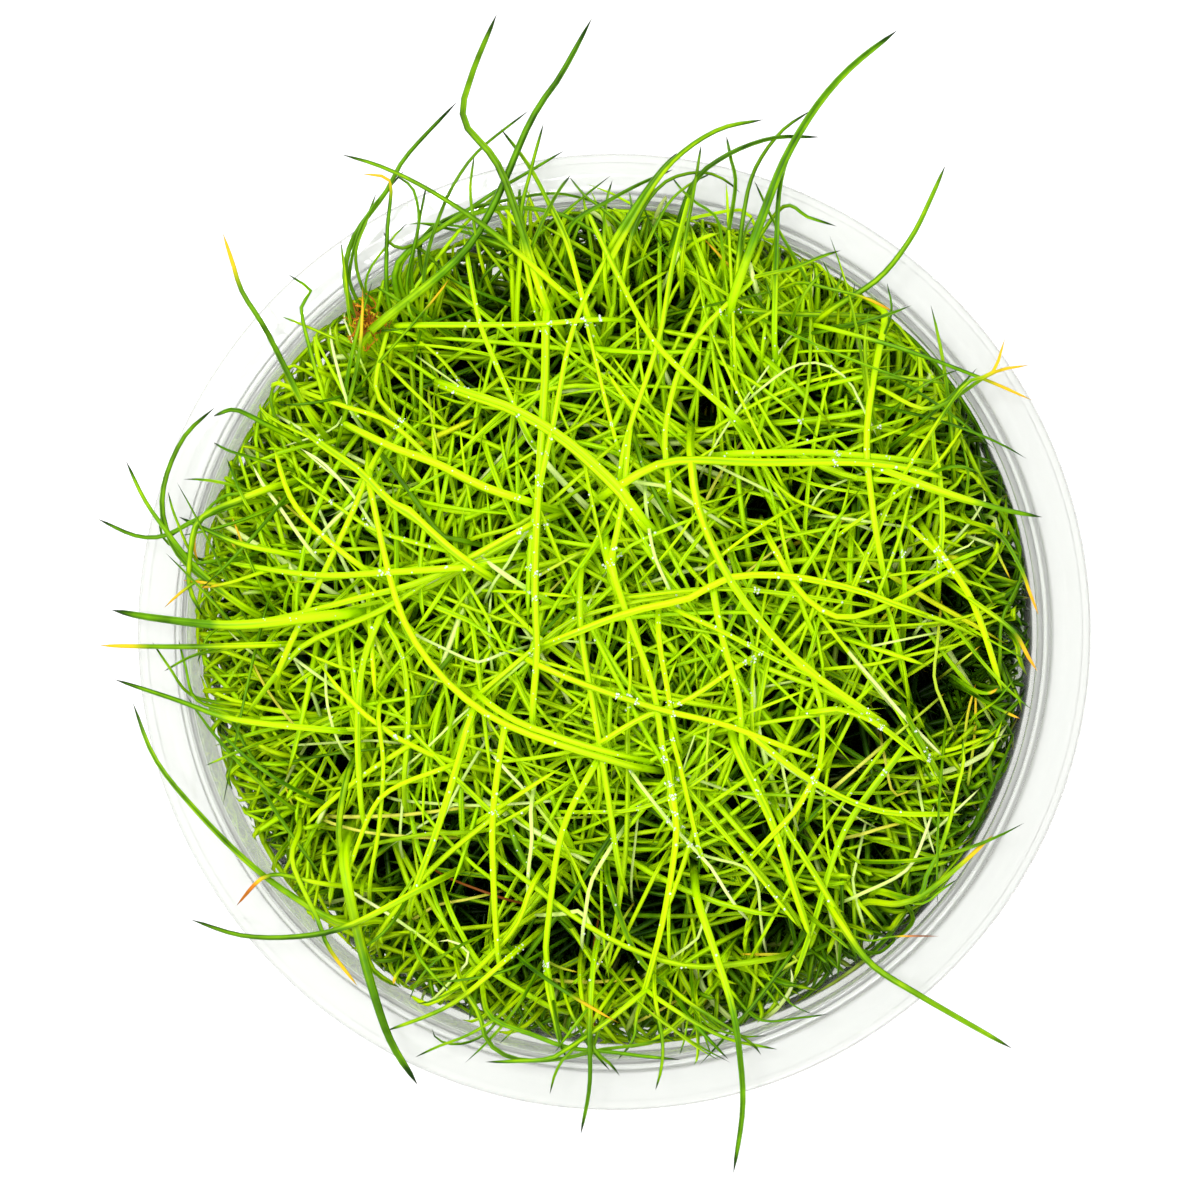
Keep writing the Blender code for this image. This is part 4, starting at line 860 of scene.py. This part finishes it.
def jelly_disc():
    """The set jelly: it fills the foot, with a wet edge drawn up the wall and a dished top."""
    reach = float(wall_inside(np.array(JELLY_TOP))) - 0.12
    low = BASE_RADIUS - FOOT_ROUND
    profile = [
        (0.0, JELLY_TOP - 0.25),
        (reach * 0.5, JELLY_TOP - 0.22),
        (reach - 3.2, JELLY_TOP - 0.1),
        (reach - 1.4, JELLY_TOP + 0.12),
        (reach - 0.5, JELLY_TOP + 0.5),
        (reach, JELLY_TOP + 1.0),
        (float(wall_inside(np.array(FOOT_ROUND))) - 0.12, FOOT_ROUND + 0.2),
        *arc((low, FOOT_ROUND), FOOT_ROUND - WALL - 0.12, 0.0, -90.0, 6)[1:],
        (low - 3.0, JELLY_LOW + 0.12),
        (0.0, JELLY_LOW + 0.12),
    ]
    piece = turned("jelly_disc", profile, 120)
    piece.data.materials.append(set_jelly())
    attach(piece, "root")
    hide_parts("nutrient_gel")


def curve_through(points, count):
    """Evenly spaced points on a smooth curve through the given ones."""
    points = np.asarray(points, float)
    padded = np.vstack((2 * points[0] - points[1], points, 2 * points[-1] - points[-2]))
    dense = []
    for a, b, c, d in zip(padded, padded[1:], padded[2:], padded[3:]):
        t = np.linspace(0.0, 1.0, 12, endpoint=False)[:, None]
        dense.append(0.5 * (2 * b + (c - a) * t + (2 * a - 5 * b + 4 * c - d) * t**2
                            + (3 * b - a - 3 * c + d) * t**3))
    dense = np.vstack((*dense, points[-1:]))
    length = np.concatenate(([0.0], np.cumsum(np.linalg.norm(np.diff(dense, axis=0), axis=1))))
    steps = np.linspace(0.0, length[-1], count)
    return np.stack([np.interp(steps, length, dense[:, i]) for i in range(dense.shape[1])], axis=1)


def bezier_paths(controls, count):
    """Points (blade, step, xyz) on the cubic Bezier curves of many blades."""
    t = np.linspace(0.0, 1.0, count)[None, :, None]
    a, b, c, d = (controls[:, None, i] for i in range(4))
    return (1 - t) ** 3 * a + 3 * (1 - t) ** 2 * t * b + 3 * (1 - t) * t**2 * c + t**3 * d


def uv_corners(*pairs):
    """Places (face, corner, uv) of many like faces at once, from the (u, v) of each corner."""
    return np.stack([np.stack(np.broadcast_arrays(*pair), axis=-1) for pair in pairs], axis=-2)


class Blades:
    """Many blades of one build: paths, radii and looks, one row a blade, and the tuft each is on."""

    def __init__(self, paths, radius, light, bleach, dry, tone, sides, flat):
        self.paths = paths
        self.radius = radius
        self.looks = {"light": light, "bleach": bleach, "dry": dry, "tone": tone}
        self.sides = sides
        self.flat = flat
        self.tuft = tuft_of(paths[:, 0, 0], paths[:, 0, 1])

    def rings(self, chosen):
        """Corner places (blade, corner, xyz): a foot point, the rings and a tip point."""
        path = self.paths[chosen]
        tangent = unit(np.gradient(path, axis=1))
        heading = unit(path[:, -1:, :2] - path[:, :1, :2], 1e-6)
        level = tangent[..., :2] + 0.15 * heading + (1e-6, 0.0)
        side = unit(np.stack((-level[..., 1], level[..., 0], np.zeros(level.shape[:2])), axis=-1))
        normal = unit(np.cross(tangent, side))
        side = np.cross(normal, tangent)
        turn = np.arange(self.sides) * math.tau / self.sides
        radius = self.radius[chosen][:, 1:-1, None, None]
        around = (side[:, 1:-1, None] * np.cos(turn)[None, None, :, None]
                  + normal[:, 1:-1, None] * np.sin(turn)[None, None, :, None] * self.flat)
        rings = path[:, 1:-1, None] + radius * around
        count = len(path)
        return np.concatenate((path[:, :1], rings.reshape(count, -1, 3), path[:, -1:]), axis=1)

    def corner_steps(self):
        """For each corner of a blade, the step of the path that it belongs to."""
        steps = self.paths.shape[1]
        inner = np.repeat(np.arange(1, steps - 1), self.sides)
        return np.concatenate(([0], inner, [steps - 1]))

    def faces(self):
        """Corner numbers of one blade's faces, and each corner's place (around, along)."""
        steps = self.paths.shape[1]
        sides = self.sides
        ring = np.arange(steps - 3)[:, None] * sides
        this = np.arange(sides)[None, :]
        after = (this + 1) % sides
        above = ring + sides
        quads = np.stack((ring + this, ring + after, above + after, above + this), axis=-1)
        quads = quads.reshape(-1, 4) + 1
        last = (steps - 3) * sides + 1
        foot = np.stack((np.zeros(sides, int), after[0] + 1, this[0] + 1), axis=-1)
        tip = np.stack((np.full(sides, last + sides), this[0] + last, after[0] + last), axis=-1)
        low = (np.arange(steps - 3)[:, None] + 1) / (steps - 1) + 0.0 * this
        high = low + 1 / (steps - 1)
        left = this / sides + 0.0 * low
        right = left + 1 / sides
        quad_uv = uv_corners((left, low), (right, low), (right, high), (left, high))
        first, final = 1 / (steps - 1), (steps - 2) / (steps - 1)
        left, right = left[0], right[0]
        middle = 0.5 * (left + right)
        foot_uv = uv_corners((middle, 0.0), (right, first), (left, first))
        tip_uv = uv_corners((middle, 1.0), (left, final), (right, final))
        ends, ends_uv = np.concatenate((foot, tip)), np.concatenate((foot_uv, tip_uv))
        return quads, ends, quad_uv.reshape(-1, 4, 2), ends_uv


STRIP_ROWS = 6
STRIP_MARGIN = 0.12


def blade_mesh(name, groups, choose):
    """One joined mesh of all blades that belong together, with their looks and two UV maps."""
    chosen = [choose(group) for group in groups]
    total = sum(len(rows) for rows in chosen)
    columns = math.ceil(total / STRIP_ROWS)
    places, faces, looks, blade_uv, bake_uv = [], [], [], [], []
    start = 0
    number = 0
    for group, rows in zip(groups, chosen):
        if not len(rows):
            continue
        corners = group.rings(rows)
        steps = group.corner_steps()
        quads, triangles, quad_uv, triangle_uv = group.faces()
        per_blade = corners.shape[1]
        offsets = start + per_blade * np.arange(len(rows))
        strips = number + np.arange(len(rows))
        cell = np.stack((strips % columns, strips // columns), axis=-1)[:, None, None, :]
        cell_size = np.array((1.0 / columns, 1.0 / STRIP_ROWS))
        for shape, uv in ((quads, quad_uv), (triangles, triangle_uv)):
            faces.append((shape[None] + offsets[:, None, None]).reshape(-1, shape.shape[1]))
            mapped = np.broadcast_to(uv[None], (len(rows), *uv.shape))
            inner = STRIP_MARGIN + (1.0 - 2.0 * STRIP_MARGIN) * mapped
            blade_uv.append(mapped.reshape(-1, 2))
            bake_uv.append(((cell + inner) * cell_size).reshape(-1, 2))
        places.append(corners.reshape(-1, 3))
        looks.append({key: value[rows][:, steps].reshape(-1) for key, value in group.looks.items()})
        start += per_blade * len(rows)
        number += len(rows)
    return finish_mesh(name, places, faces, looks, {"blade": blade_uv, "OFBake": bake_uv})


def finish_mesh(name, places, faces, looks, uv_maps):
    """Makes the mesh from arrays of corners and faces, and gives it its looks and UV maps."""
    mesh = bpy.data.meshes.new(name)
    corners = np.concatenate(places) * MM
    sizes = np.concatenate([np.full(len(part), part.shape[1]) for part in faces])
    order = np.concatenate([part.reshape(-1) for part in faces])
    mesh.vertices.add(len(corners))
    mesh.vertices.foreach_set("co", corners.astype(np.float32).reshape(-1))
    mesh.loops.add(len(order))
    mesh.loops.foreach_set("vertex_index", order.astype(np.int32))
    mesh.polygons.add(len(sizes))
    starts = np.concatenate(([0], np.cumsum(sizes)[:-1]))
    mesh.polygons.foreach_set("loop_start", starts.astype(np.int32))
    mesh.polygons.foreach_set("use_smooth", np.ones(len(sizes), bool))
    mesh.update(calc_edges=True)
    for key in looks[0]:
        values = np.concatenate([part[key] for part in looks]).astype(np.float32)
        mesh.attributes.new(key, "FLOAT", "POINT").data.foreach_set("value", values)
    for key, parts in uv_maps.items():
        layer = mesh.uv_layers.new(name=key)
        layer.data.foreach_set("uv", np.concatenate(parts).astype(np.float32).reshape(-1))
    mesh.validate()
    made = bpy.data.objects.new(name, mesh)
    bpy.context.scene.collection.objects.link(made)
    return made


def east_side(x, y):
    """1 along the wall at the east, where the tangle stands off it, and 0 elsewhere."""
    return smooth((x - 0.2 * y - 22.0) / 13.0)


def light_at(paths, lower):
    """How much light reaches each point: full on top, fading down into the tangle."""
    x, y, z = paths[..., 0], paths[..., 1], paths[..., 2]
    depth = np.maximum(lid(x, y) - z, 0.0)
    level = np.exp(-(depth / 10.0) ** 3.0)
    away = np.hypot(x, y)
    near_wall = smooth((away - 32.0) / 7.0)
    shady_side = smooth((-y - 12.0) / 22.0)
    edge = smooth((away - 34.0) / 6.0)
    level *= 0.97 + 0.23 * smooth((away - 10.0) / 16.0)
    level *= (1.0 - (0.26 + 0.004 * x - 0.0045 * y) * edge) * (1.0 - 0.1 * shady_side)
    # Below the collar the clear wall lets light in from the side, and behind the collar the gap
    # at the east is dark
    through_wall = 0.36 + 0.36 * smooth((RIM_TOP - 8.0 - z) / 14.0)
    gap = east_side(x, y) * smooth((away - 36.5) / 2.0) * smooth((depth - 3.0) / 5.0)
    gap *= smooth((z - 36.0) / 8.0)
    level *= 1.0 - 0.35 * gap
    through_wall *= 1.0 - 0.55 * gap
    return np.maximum(level, lower + through_wall * near_wall)


def taper(count, point=0.08, narrow=0.3, foot=0.85):
    """Share of the full thickness along a quill: it narrows slowly to a short, blunt point."""
    t = np.linspace(0.0, 1.0, count)
    tip = np.clip((t - 1.0 + point) / point, 0.0, 1.0)
    return (foot + (1.0 - foot) * smooth(t / 0.3)) * (1.0 - narrow * t**2) * (1.0 - 0.75 * tip**2)


def knot_swell(paths, radius):
    """Where a blade passes one of the swollen joints, it is thicker over about a millimetre."""
    swell = np.zeros(paths.shape[:2])
    for u, v in KNOTS:
        x, y = from_view(u, v, KNOT_HEIGHT)
        away = np.hypot(paths[..., 0] - x, paths[..., 1] - y)
        near = away.min(axis=1, keepdims=True) < 0.45
        swell = np.maximum(swell, near * np.exp(-((away / 0.75) ** 2)))
    return radius * (1.0 + 0.55 * swell)


def tones(paths, most):
    """One shade of green for each blade, even along it."""
    return np.repeat(rng.random((len(paths), 1)) * most, paths.shape[1], axis=1)


def traced_blades():
    """The blades that show one by one on top, each with a foot that dives into the tangle."""
    rows = [(kind, *row) for kind, group in TOP_BLADES.items() for row in group]
    order = np.argsort([-row[1] + 0.5 * rng.random() for row in rows])
    rank = np.empty(len(rows))
    rank[order] = np.arange(len(rows)) / len(rows)
    steps = 30
    paths, radius, light, bleach, dry = [], [], [], [], []
    t = np.linspace(0.0, 1.0, steps)
    for (kind, thick, *places), place_in_order in zip(rows, rank):
        depth, bright, pale, wither = TOP_KINDS[kind]
        depth += 0.3 + TOP_LAYER * place_in_order
        points = []
        for u, v in places:
            x, y = from_view(u, v, RIM_TOP + 5.0)
            z = float(lid(np.array(x), np.array(y))) - depth
            points.append(np.array((*from_view(u, v, z), z)))
        away = level_way(points[1], points[0])
        dive = ((5.0, 22.0), (4.0, 11.0), (2.2, 4.0))
        foot = [points[0] + away * run - (0.0, 0.0, drop) for run, drop in dive]
        tail = []
        if math.hypot(points[-1][0], points[-1][1]) < 34.0:
            on = level_way(points[-2], points[-1])
            tail = [points[-1] + on * run - (0, 0, drop) for run, drop in ((2.6, 2.4), (4.6, 7.0))]
        path = curve_through(np.array(foot + points + tail), steps)
        length = np.linalg.norm(points[-1] - points[0])
        share = length / (length + 24.0)
        shown = np.clip((t - (1.0 - share)) / share, 0.0, 1.0)
        thick *= 1.0 - 0.2 * float(smooth((points[-1][1] - 15.0) / 12.0)) - 0.2 * (pale[1] > 0.5)
        strands = 1 + (thick > 1.35) + (thick > 1.8)
        strand = thick * (0.73 if strands == 1 else 1.0 / strands)
        heading = np.gradient(path, axis=0)
        across = unit(np.stack((-heading[:, 1], heading[:, 0], 0.0 * t), axis=-1))
        for number in range(strands):
            shift = (number - 0.5 * (strands - 1)) * strand * 0.9
            drift = shift * (1.0 + 0.5 * rng.normal() * (t - 0.7))
            drift += (strands > 1) * 0.25 * rng.normal() * t
            paths.append(path + across * drift[:, None] - (0.0, 0.0, 0.3 * (number % 2)))
            radius.append(0.5 * strand * taper(steps, 3.0 / (24.0 + length), 0.25))
            # Painted shade: blades lower in the order, and a split blade's second strand, are darker
            light.append(bright - 0.25 * place_in_order - 0.12 * number + 0.0 * t)
            bleach.append(pale[0] + (pale[1] - pale[0]) * smooth(shown * 1.6))
            dry.append(wither[0] + (wither[1] - wither[0]) * shown)
    paths = keep_inside(np.array(paths), 0.5)
    light = np.minimum(np.array(light), light_at(paths, 0.05) * 1.6)
    radius = knot_swell(paths, np.array(radius))
    tone = tones(paths, 0.5)
    return Blades(paths, radius, light, np.array(bleach), np.array(dry), tone, 7, 0.8)


def rim_blades():
    """The long blades that reach over the rim, from the tangle to their fine tips."""
    steps = 36
    paths, radius, bleach, dry = [], [], [], []
    t = np.linspace(0.0, 1.0, steps)
    for tip_height, thick, tip_dry, *places in RIM_BLADES:
        spans = [math.dist(a, b) for a, b in zip(places, places[1:])]
        run = np.concatenate(([0.0], np.cumsum(spans)))
        shares = run / run[-1]
        u, v = places[0]
        start = float(lid(np.array(u), np.array(v))) - 1.0
        points = []
        for (u, v), share in zip(places, shares):
            clear = RIM_TOP + 1.6 + 0.9 * thick
            z = start + (tip_height - start) * share + 2.2 * math.sin(math.pi * share)
            if share < 1.0:
                z = max(z, clear)
            points.append(np.array((*from_view(u, v, z), z)))
        away = level_way(points[1], points[0])
        foot = []
        for back, drop in ((5.5, 24), (4.4, 12), (2.4, 4)):
            place = points[0] + away * back - (0.0, 0.0, drop)
            place[:2] *= min(1.0, GROWTH_RADIUS / math.hypot(place[0], place[1]))
            foot.append(place)
        paths.append(curve_through(np.array(foot + points), steps))
        radius.append(0.5 * thick * taper(steps, 0.07, 0.5))
        bleach.append(0.0 * t)
        dry.append(tip_dry * (tip_dry > 0.35) * smooth((t - 0.84) / 0.1))
    paths = np.array(paths)
    out = smooth((np.hypot(paths[..., 0], paths[..., 1]) - 35.0) / 6.0)
    outer_light = rng.uniform(0.34, 0.5, (len(paths), 1))
    light = np.minimum(0.95, light_at(paths, 0.2) * 1.3) * (1.0 - out) + outer_light * out
    light *= 1.0 - 0.85 * smooth((t - 0.94) / 0.06)
    tone = tones(paths, 0.6)
    return Blades(paths, np.array(radius), light, np.array(bleach), np.array(dry), tone, 7, 0.8)


def fringe(count):
    """Short fine blades all round that rise out of the edge of the tangle and just reach the rim."""
    steps = 14
    side = rng.normal(math.radians(80.0), math.radians(48.0), count)
    side = np.where(rng.random(count) < 0.5, side, rng.uniform(0.6, 5.5, count))
    start = rng.uniform(31.0, 37.0, count)
    longer = rng.random(count) < 0.3
    end = np.where(longer, rng.uniform(42.5, 46.0, count), rng.uniform(38.5, 42.5, count))
    turn = rng.normal(0.0, 0.3, count)
    foot = np.stack((start * np.cos(side), start * np.sin(side)), axis=-1)
    tip = np.stack((end * np.cos(side + turn), end * np.sin(side + turn)), axis=-1)
    middle = 0.5 * (foot + tip) + rng.normal(0.0, 1.6, (count, 2))
    controls = np.zeros((count, 4, 3))
    controls[:, 0, :2] = foot
    controls[:, 1, :2] = foot + 0.2 * (tip - foot)
    controls[:, 2, :2] = middle
    controls[:, 3, :2] = tip
    high = RIM_TOP + rng.uniform(1.2, 4.2, count)
    controls[:, 0, 2] = high - 14.0
    controls[:, 1, 2] = high - 2.0
    controls[:, 2, 2] = high + 1.6
    controls[:, 3, 2] = high - 0.4
    paths = bezier_paths(controls, steps)
    radius = 0.5 * rng.uniform(0.34, 0.55, (count, 1)) * taper(steps, 0.16, 0.4)[None]
    t = np.linspace(0.0, 1.0, steps)
    light = rng.uniform(0.36, 0.58, (count, 1)) * (1.0 - 0.8 * smooth((t - 0.9) / 0.1))
    lot = rng.random((count, 1))
    dry = np.where(lot < 0.12, 0.45, 0.0) * smooth((t - 0.75) / 0.15)
    tone = tones(paths, 0.7)
    return Blades(paths, radius, light, 0.0 * light, dry, tone, 5, 0.85)


def shoots(count):
    """Places where shoots stand on the jelly, even over its round top."""
    away = GROWTH_RADIUS * np.sqrt((np.arange(count) + 0.5) / count)
    turn = np.arange(count) * math.radians(137.508)
    places = np.stack((away * np.cos(turn), away * np.sin(turn)), axis=-1)
    return places + rng.normal(0.0, 0.6, places.shape)


def leave_hollows(paths):
    """Only the blades that don't cross one of the hollows near the top of the tangle."""
    x, y, z = paths[..., 0], paths[..., 1], paths[..., 2]
    near_top = z > lid(x, y) - 14.0
    crosses = np.zeros(len(paths), bool)
    for u, v, radius in HOLLOWS:
        at_x, at_y = from_view(u, v, RIM_TOP - 2.0)
        crosses |= (near_top & (np.hypot(x - at_x, y - at_y) < 0.87 * radius)).any(axis=1)
    return paths[~crosses]


def wild_blades(places, count, reach, depth, thick, steps, sides, rise, bright, outward=0.0):
    """Blades that grow at random: up from their shoot, then over in any direction, tips down."""
    foot = places[rng.integers(0, len(places), count)] + rng.normal(0.0, 0.5, (count, 2))
    out = np.arctan2(foot[:, 1], foot[:, 0])
    heading = out + rng.uniform(-1.0, 1.0, count) * math.pi * (1.0 - outward)
    run = reach[0] + (reach[1] - reach[0]) * rng.beta(1.2, 1.5, count)
    way = np.stack((np.cos(heading), np.sin(heading)), axis=-1)
    across = np.stack((-way[:, 1], way[:, 0]), axis=-1)
    bow = rng.normal(0.0, 0.15, count) * run
    tip = foot + way * run[:, None]
    far = np.hypot(tip[:, 0] - TIP_CENTRE[0], tip[:, 1] - TIP_CENTRE[1])
    pull = np.minimum(1.0, TIP_RADIUS / np.maximum(far, 1.0))
    tip = tip * pull[:, None]
    under = depth[0] + (depth[1] - depth[0]) * rng.beta(1.0, 1.3, count)
    top = lid(tip[:, 0], tip[:, 1]) - under
    top = np.maximum(top, CROWN_HEIGHT + 12.0)
    height = top - CROWN_HEIGHT
    line = tip - foot
    shape = rng.random((count, 1))
    controls = np.zeros((count, 4, 3))
    controls[:, 0, :2] = foot
    controls[:, 1, :2] = foot + line * (0.04 + 0.1 * shape)
    controls[:, 2, :2] = foot + line * (0.4 + 0.25 * shape) + across * bow[:, None]
    controls[:, 3, :2] = tip
    controls[:, 0, 2] = CROWN_HEIGHT
    controls[:, 1, 2] = CROWN_HEIGHT + height * rise
    controls[:, 2, 2] = CROWN_HEIGHT + height * rng.uniform(0.98, 1.08, count)
    controls[:, 3, 2] = np.maximum(top - 1.5 - rng.exponential(5.0, count), CROWN_HEIGHT + 4.0)
    paths = bezier_paths(controls, steps)
    ceiling = lid(paths[..., 0], paths[..., 1]) - 0.5 * under[:, None]
    paths[..., 2] -= np.maximum(paths[..., 2] - ceiling, 0.0)
    paths[..., 0] -= 0.5 * smooth((paths[..., 2] - 20.0) / 35.0)
    # The tangle leans to the west, and stands a little off the wall at the east
    stand_off = east_side(paths[..., 0], paths[..., 1]) * smooth((paths[..., 2] - 51.0) / 4.0)
    paths = keep_inside(paths, 0.45 + 2.4 * stand_off)
    paths = leave_hollows(paths)
    count = len(paths)
    full = rng.uniform(*thick, count)
    radius = 0.5 * full[:, None] * taper(steps, 0.1, 0.35)[None]
    light = light_at(paths, 0.05) * rng.uniform(*bright, (count, 1))
    t = np.linspace(0.0, 1.0, steps)[None]
    lot = rng.random((count, 1))
    bleach = np.where(lot < 0.05, 0.6, 0.0) * smooth((t - rng.random((count, 1))) * 6.0)
    bleach = bleach + 0.3 * np.exp(-(paths[..., 2] - CROWN_HEIGHT) / 6.0)
    dry = np.where(lot > 0.998, 0.25, 0.0) * smooth((t - 0.3 - 0.5 * rng.random((count, 1))) * 5.0)
    dry = dry + np.where((lot > 0.6) & (lot < 0.7), 0.3, 0.0) * smooth((t - 0.93) / 0.07)
    tone = tones(paths, 0.6)
    return Blades(paths, radius, light, np.minimum(bleach, 1.0), dry, tone, sides, 0.85)


def root_hairs(count, places):
    """White roots that wander down through the jelly from the shoots."""
    steps = 10
    foot = places[rng.integers(0, len(places), count)]
    drift = np.cumsum(rng.normal(0.0, 0.75, (count, steps, 2)), axis=1)
    low = rng.uniform(JELLY_LOW + 0.6, JELLY_LOW + 4.0, (count, 1))
    z = JELLY_TOP + 0.2 + (low - JELLY_TOP - 0.2) * np.linspace(0.0, 1.0, steps)[None]
    paths = np.concatenate((foot[:, None] + drift, z[..., None]), axis=2)
    paths = keep_inside(paths, 1.2)
    radius = rng.uniform(0.07, 0.13, (count, 1)) * taper(steps, 0.5)[None]
    even = np.ones((count, steps))
    return Blades(paths, radius, 0.9 * even, 0.9 * even, 0.0 * even, 0.2 * even, 4, 1.0)


def dry_knot():
    """A small tangle of dead brown fibres on top, about two and a half millimetres across."""
    count, steps = DRY_FIBRES, 8
    x, y = from_view(*DRY_KNOT)
    centre = np.array((x, y, float(lid(np.array(x), np.array(y))) - 0.6))
    start = centre + rng.normal(0.0, 0.6, (count, 3)) * (1.0, 1.0, 0.4)
    way = rng.normal(0.0, 0.35, (count, steps, 3)) * (1.0, 1.0, 0.5)
    paths = start[:, None] + np.cumsum(way, axis=1)
    radius = np.full((count, steps), 0.07) * taper(steps)[None]
    even = np.ones((count, steps))
    dry = rng.uniform(0.5, 0.95, (count, 1)) * even
    return Blades(paths, radius, 0.8 * even, 0.3 * even, dry, 0.3 * even, 4, 1.0)


def beads_on(groups, count):
    """Small beads of water that sit on the topmost blades."""
    spots = []
    for group in groups:
        x, y, z = (group.paths[:, 3:-2, i].reshape(-1) for i in range(3))
        radius = group.radius[:, 3:-2].reshape(-1)
        top = (lid(x, y) - z < 4.0) & (np.hypot(x, y) < 35.0)
        spots.append(np.stack((x, y, z, radius), axis=-1)[top])
    spots = np.concatenate(spots)
    wet = spots[rng.integers(0, len(spots), 45)]
    near = np.hypot(spots[:, None, 0] - wet[:, 0], spots[:, None, 1] - wet[:, 1]).min(axis=1)
    odds = 0.25 + 3.0 * (near < 1.3)
    spots = spots[rng.choice(len(spots), count, p=odds / odds.sum())]
    spots[:, :3] += rng.normal(0.0, 0.12, (count, 3)) * (1.0, 1.0, 0.0)
    size = 0.06 + 0.1 * rng.random(count) ** 3
    turn = rng.random(count) * math.tau
    beside = 0.5 * spots[:, 3]
    lift = 0.75 * spots[:, 3] + 0.5 * size
    centre = spots[:, :3] + np.stack((beside * np.cos(turn), beside * np.sin(turn), lift), axis=-1)
    steps = 5
    rise = np.linspace(0.0, math.pi, steps)
    up = np.stack((0.0 * rise, 0.0 * rise, -np.cos(rise)), axis=-1)
    paths = centre[:, None] + up[None] * (0.8 * size)[:, None, None]
    radius = size[:, None] * np.sin(rise)[None]
    even = np.ones((count, steps))
    return Blades(paths, radius, even, even, 0.0 * even, even, 6, 1.0)


# The random growth, from the top layer down, then the short blades at the wall: how many, how far
# they reach, how deep their arch lies, thickness, steps, sides, how steeply they rise, and their
# brightness
GROWTH = [
    (1500, (20.0, 60.0), (0.4, 6.5), (0.42, 0.85), 16, 5, 0.74, (0.94, 1.38)),
    (2600, (16.0, 50.0), (3.5, 12.0), (0.42, 0.82), 14, 4, 0.72, (0.84, 1.45)),
    (2000, (6.0, 34.0), (10.0, 26.0), (0.42, 0.82), 11, 4, 0.66, (0.6, 1.3)),
    (1300, (2.0, 16.0), (20.0, 40.0), (0.4, 0.75), 8, 4, 0.6, (0.5, 1.4)),
]
WALL_GROWTH = (1300, (4.0, 15.0), (0.3, 9.0), (0.42, 0.75), 12, 4, 0.78, (0.6, 1.1))


def dress_grass():
    """All the plants: one piece for each tuft, roots, the dry knot and the beads of water."""
    places = shoots(SHOOTS)
    outer = places[np.hypot(places[:, 0], places[:, 1]) > 30.0]
    groups = [
        traced_blades(),
        rim_blades(),
        *[wild_blades(places, *row) for row in GROWTH],
        wild_blades(outer, *WALL_GROWTH, outward=0.6),
        fringe(FRINGE_BLADES),
    ]
    quill = living_grass()
    for index, tuft in enumerate(("centre", *TUFTS)):
        piece = blade_mesh(f"blades_{tuft}", groups, lambda group: np.flatnonzero(group.tuft == index))
        piece.data.materials.append(quill)
        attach(piece, "root")
        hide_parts(f"tuft_{tuft}")
    small = (
        ("roots", root_hairs(ROOTS, places), quill, "grass"),
        ("dry_fibres", dry_knot(), quill, "grass"),
        ("water_beads", beads_on(groups[:4], WATER_BEADS), water_with_painted_glint(), "gel"),
    )
    for name, group, surface, finish in small:
        piece = blade_mesh(name, [group], lambda rows: np.arange(len(rows.paths)))
        piece.data.materials.append(surface)
        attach(piece, "root")


def studio():
    """A white table, a pale even room, one large soft light and the camera above the cup."""
    bpy.ops.object.select_all(action="DESELECT")
    bpy.ops.mesh.primitive_plane_add(size=4.0, location=(0.0, 0.0, -0.0002))
    table = bpy.context.object
    table.name = "table_top"
    table.data.materials.append(opal_acrylic())
    scene = bpy.context.scene
    scene.view_settings.view_transform = "Standard"
    room = bpy.data.worlds.new("pale room")
    room.use_nodes = True
    # The tent over the cup is brightest straight above
    tree = room.node_tree
    way = node(tree, "ShaderNodeTexCoord")
    split = node(tree, "ShaderNodeSeparateXYZ", {0: way.outputs["Generated"]})
    up = split.outputs[2]
    high = node(tree, "ShaderNodeMath", {0: up, 1: up}, operation="MULTIPLY")
    glow = node(tree, "ShaderNodeMapRange", {0: high.outputs[0], 1: 0.0, 2: 1.0, 3: 1.02, 4: 1.78})
    tree.links.new(glow.outputs[0], tree.nodes["Background"].inputs["Strength"])
    tree.nodes["Background"].inputs["Color"].default_value = linear("#FFFFFF")
    scene.world = room
    lamp = bpy.data.lights.new("soft_key", "AREA")
    lamp.shape = "SQUARE"
    lamp.size = 0.2
    lamp.energy = 4.2
    key = bpy.data.objects.new("soft_key", lamp)
    key.location = (-0.22, 0.2, 0.95)
    aim = VIEW_AIM * MM - np.array(key.location)
    lean = math.atan2(math.hypot(aim[0], aim[1]), -aim[2])
    key.rotation_euler = (lean, 0.0, math.atan2(-aim[0], aim[1]))
    scene.collection.objects.link(key)
    lens = bpy.data.cameras.new("camera")
    lens.lens = LENS
    lens.sensor_width = SENSOR
    camera = bpy.data.objects.new("camera", lens)
    camera.location = VIEW_FROM * MM
    camera.rotation_euler = (0.0, VIEW_TILT, 0.0)
    scene.collection.objects.link(camera)
    scene.camera = camera


cup_shell()
jelly_disc()
dress_grass()
studio()
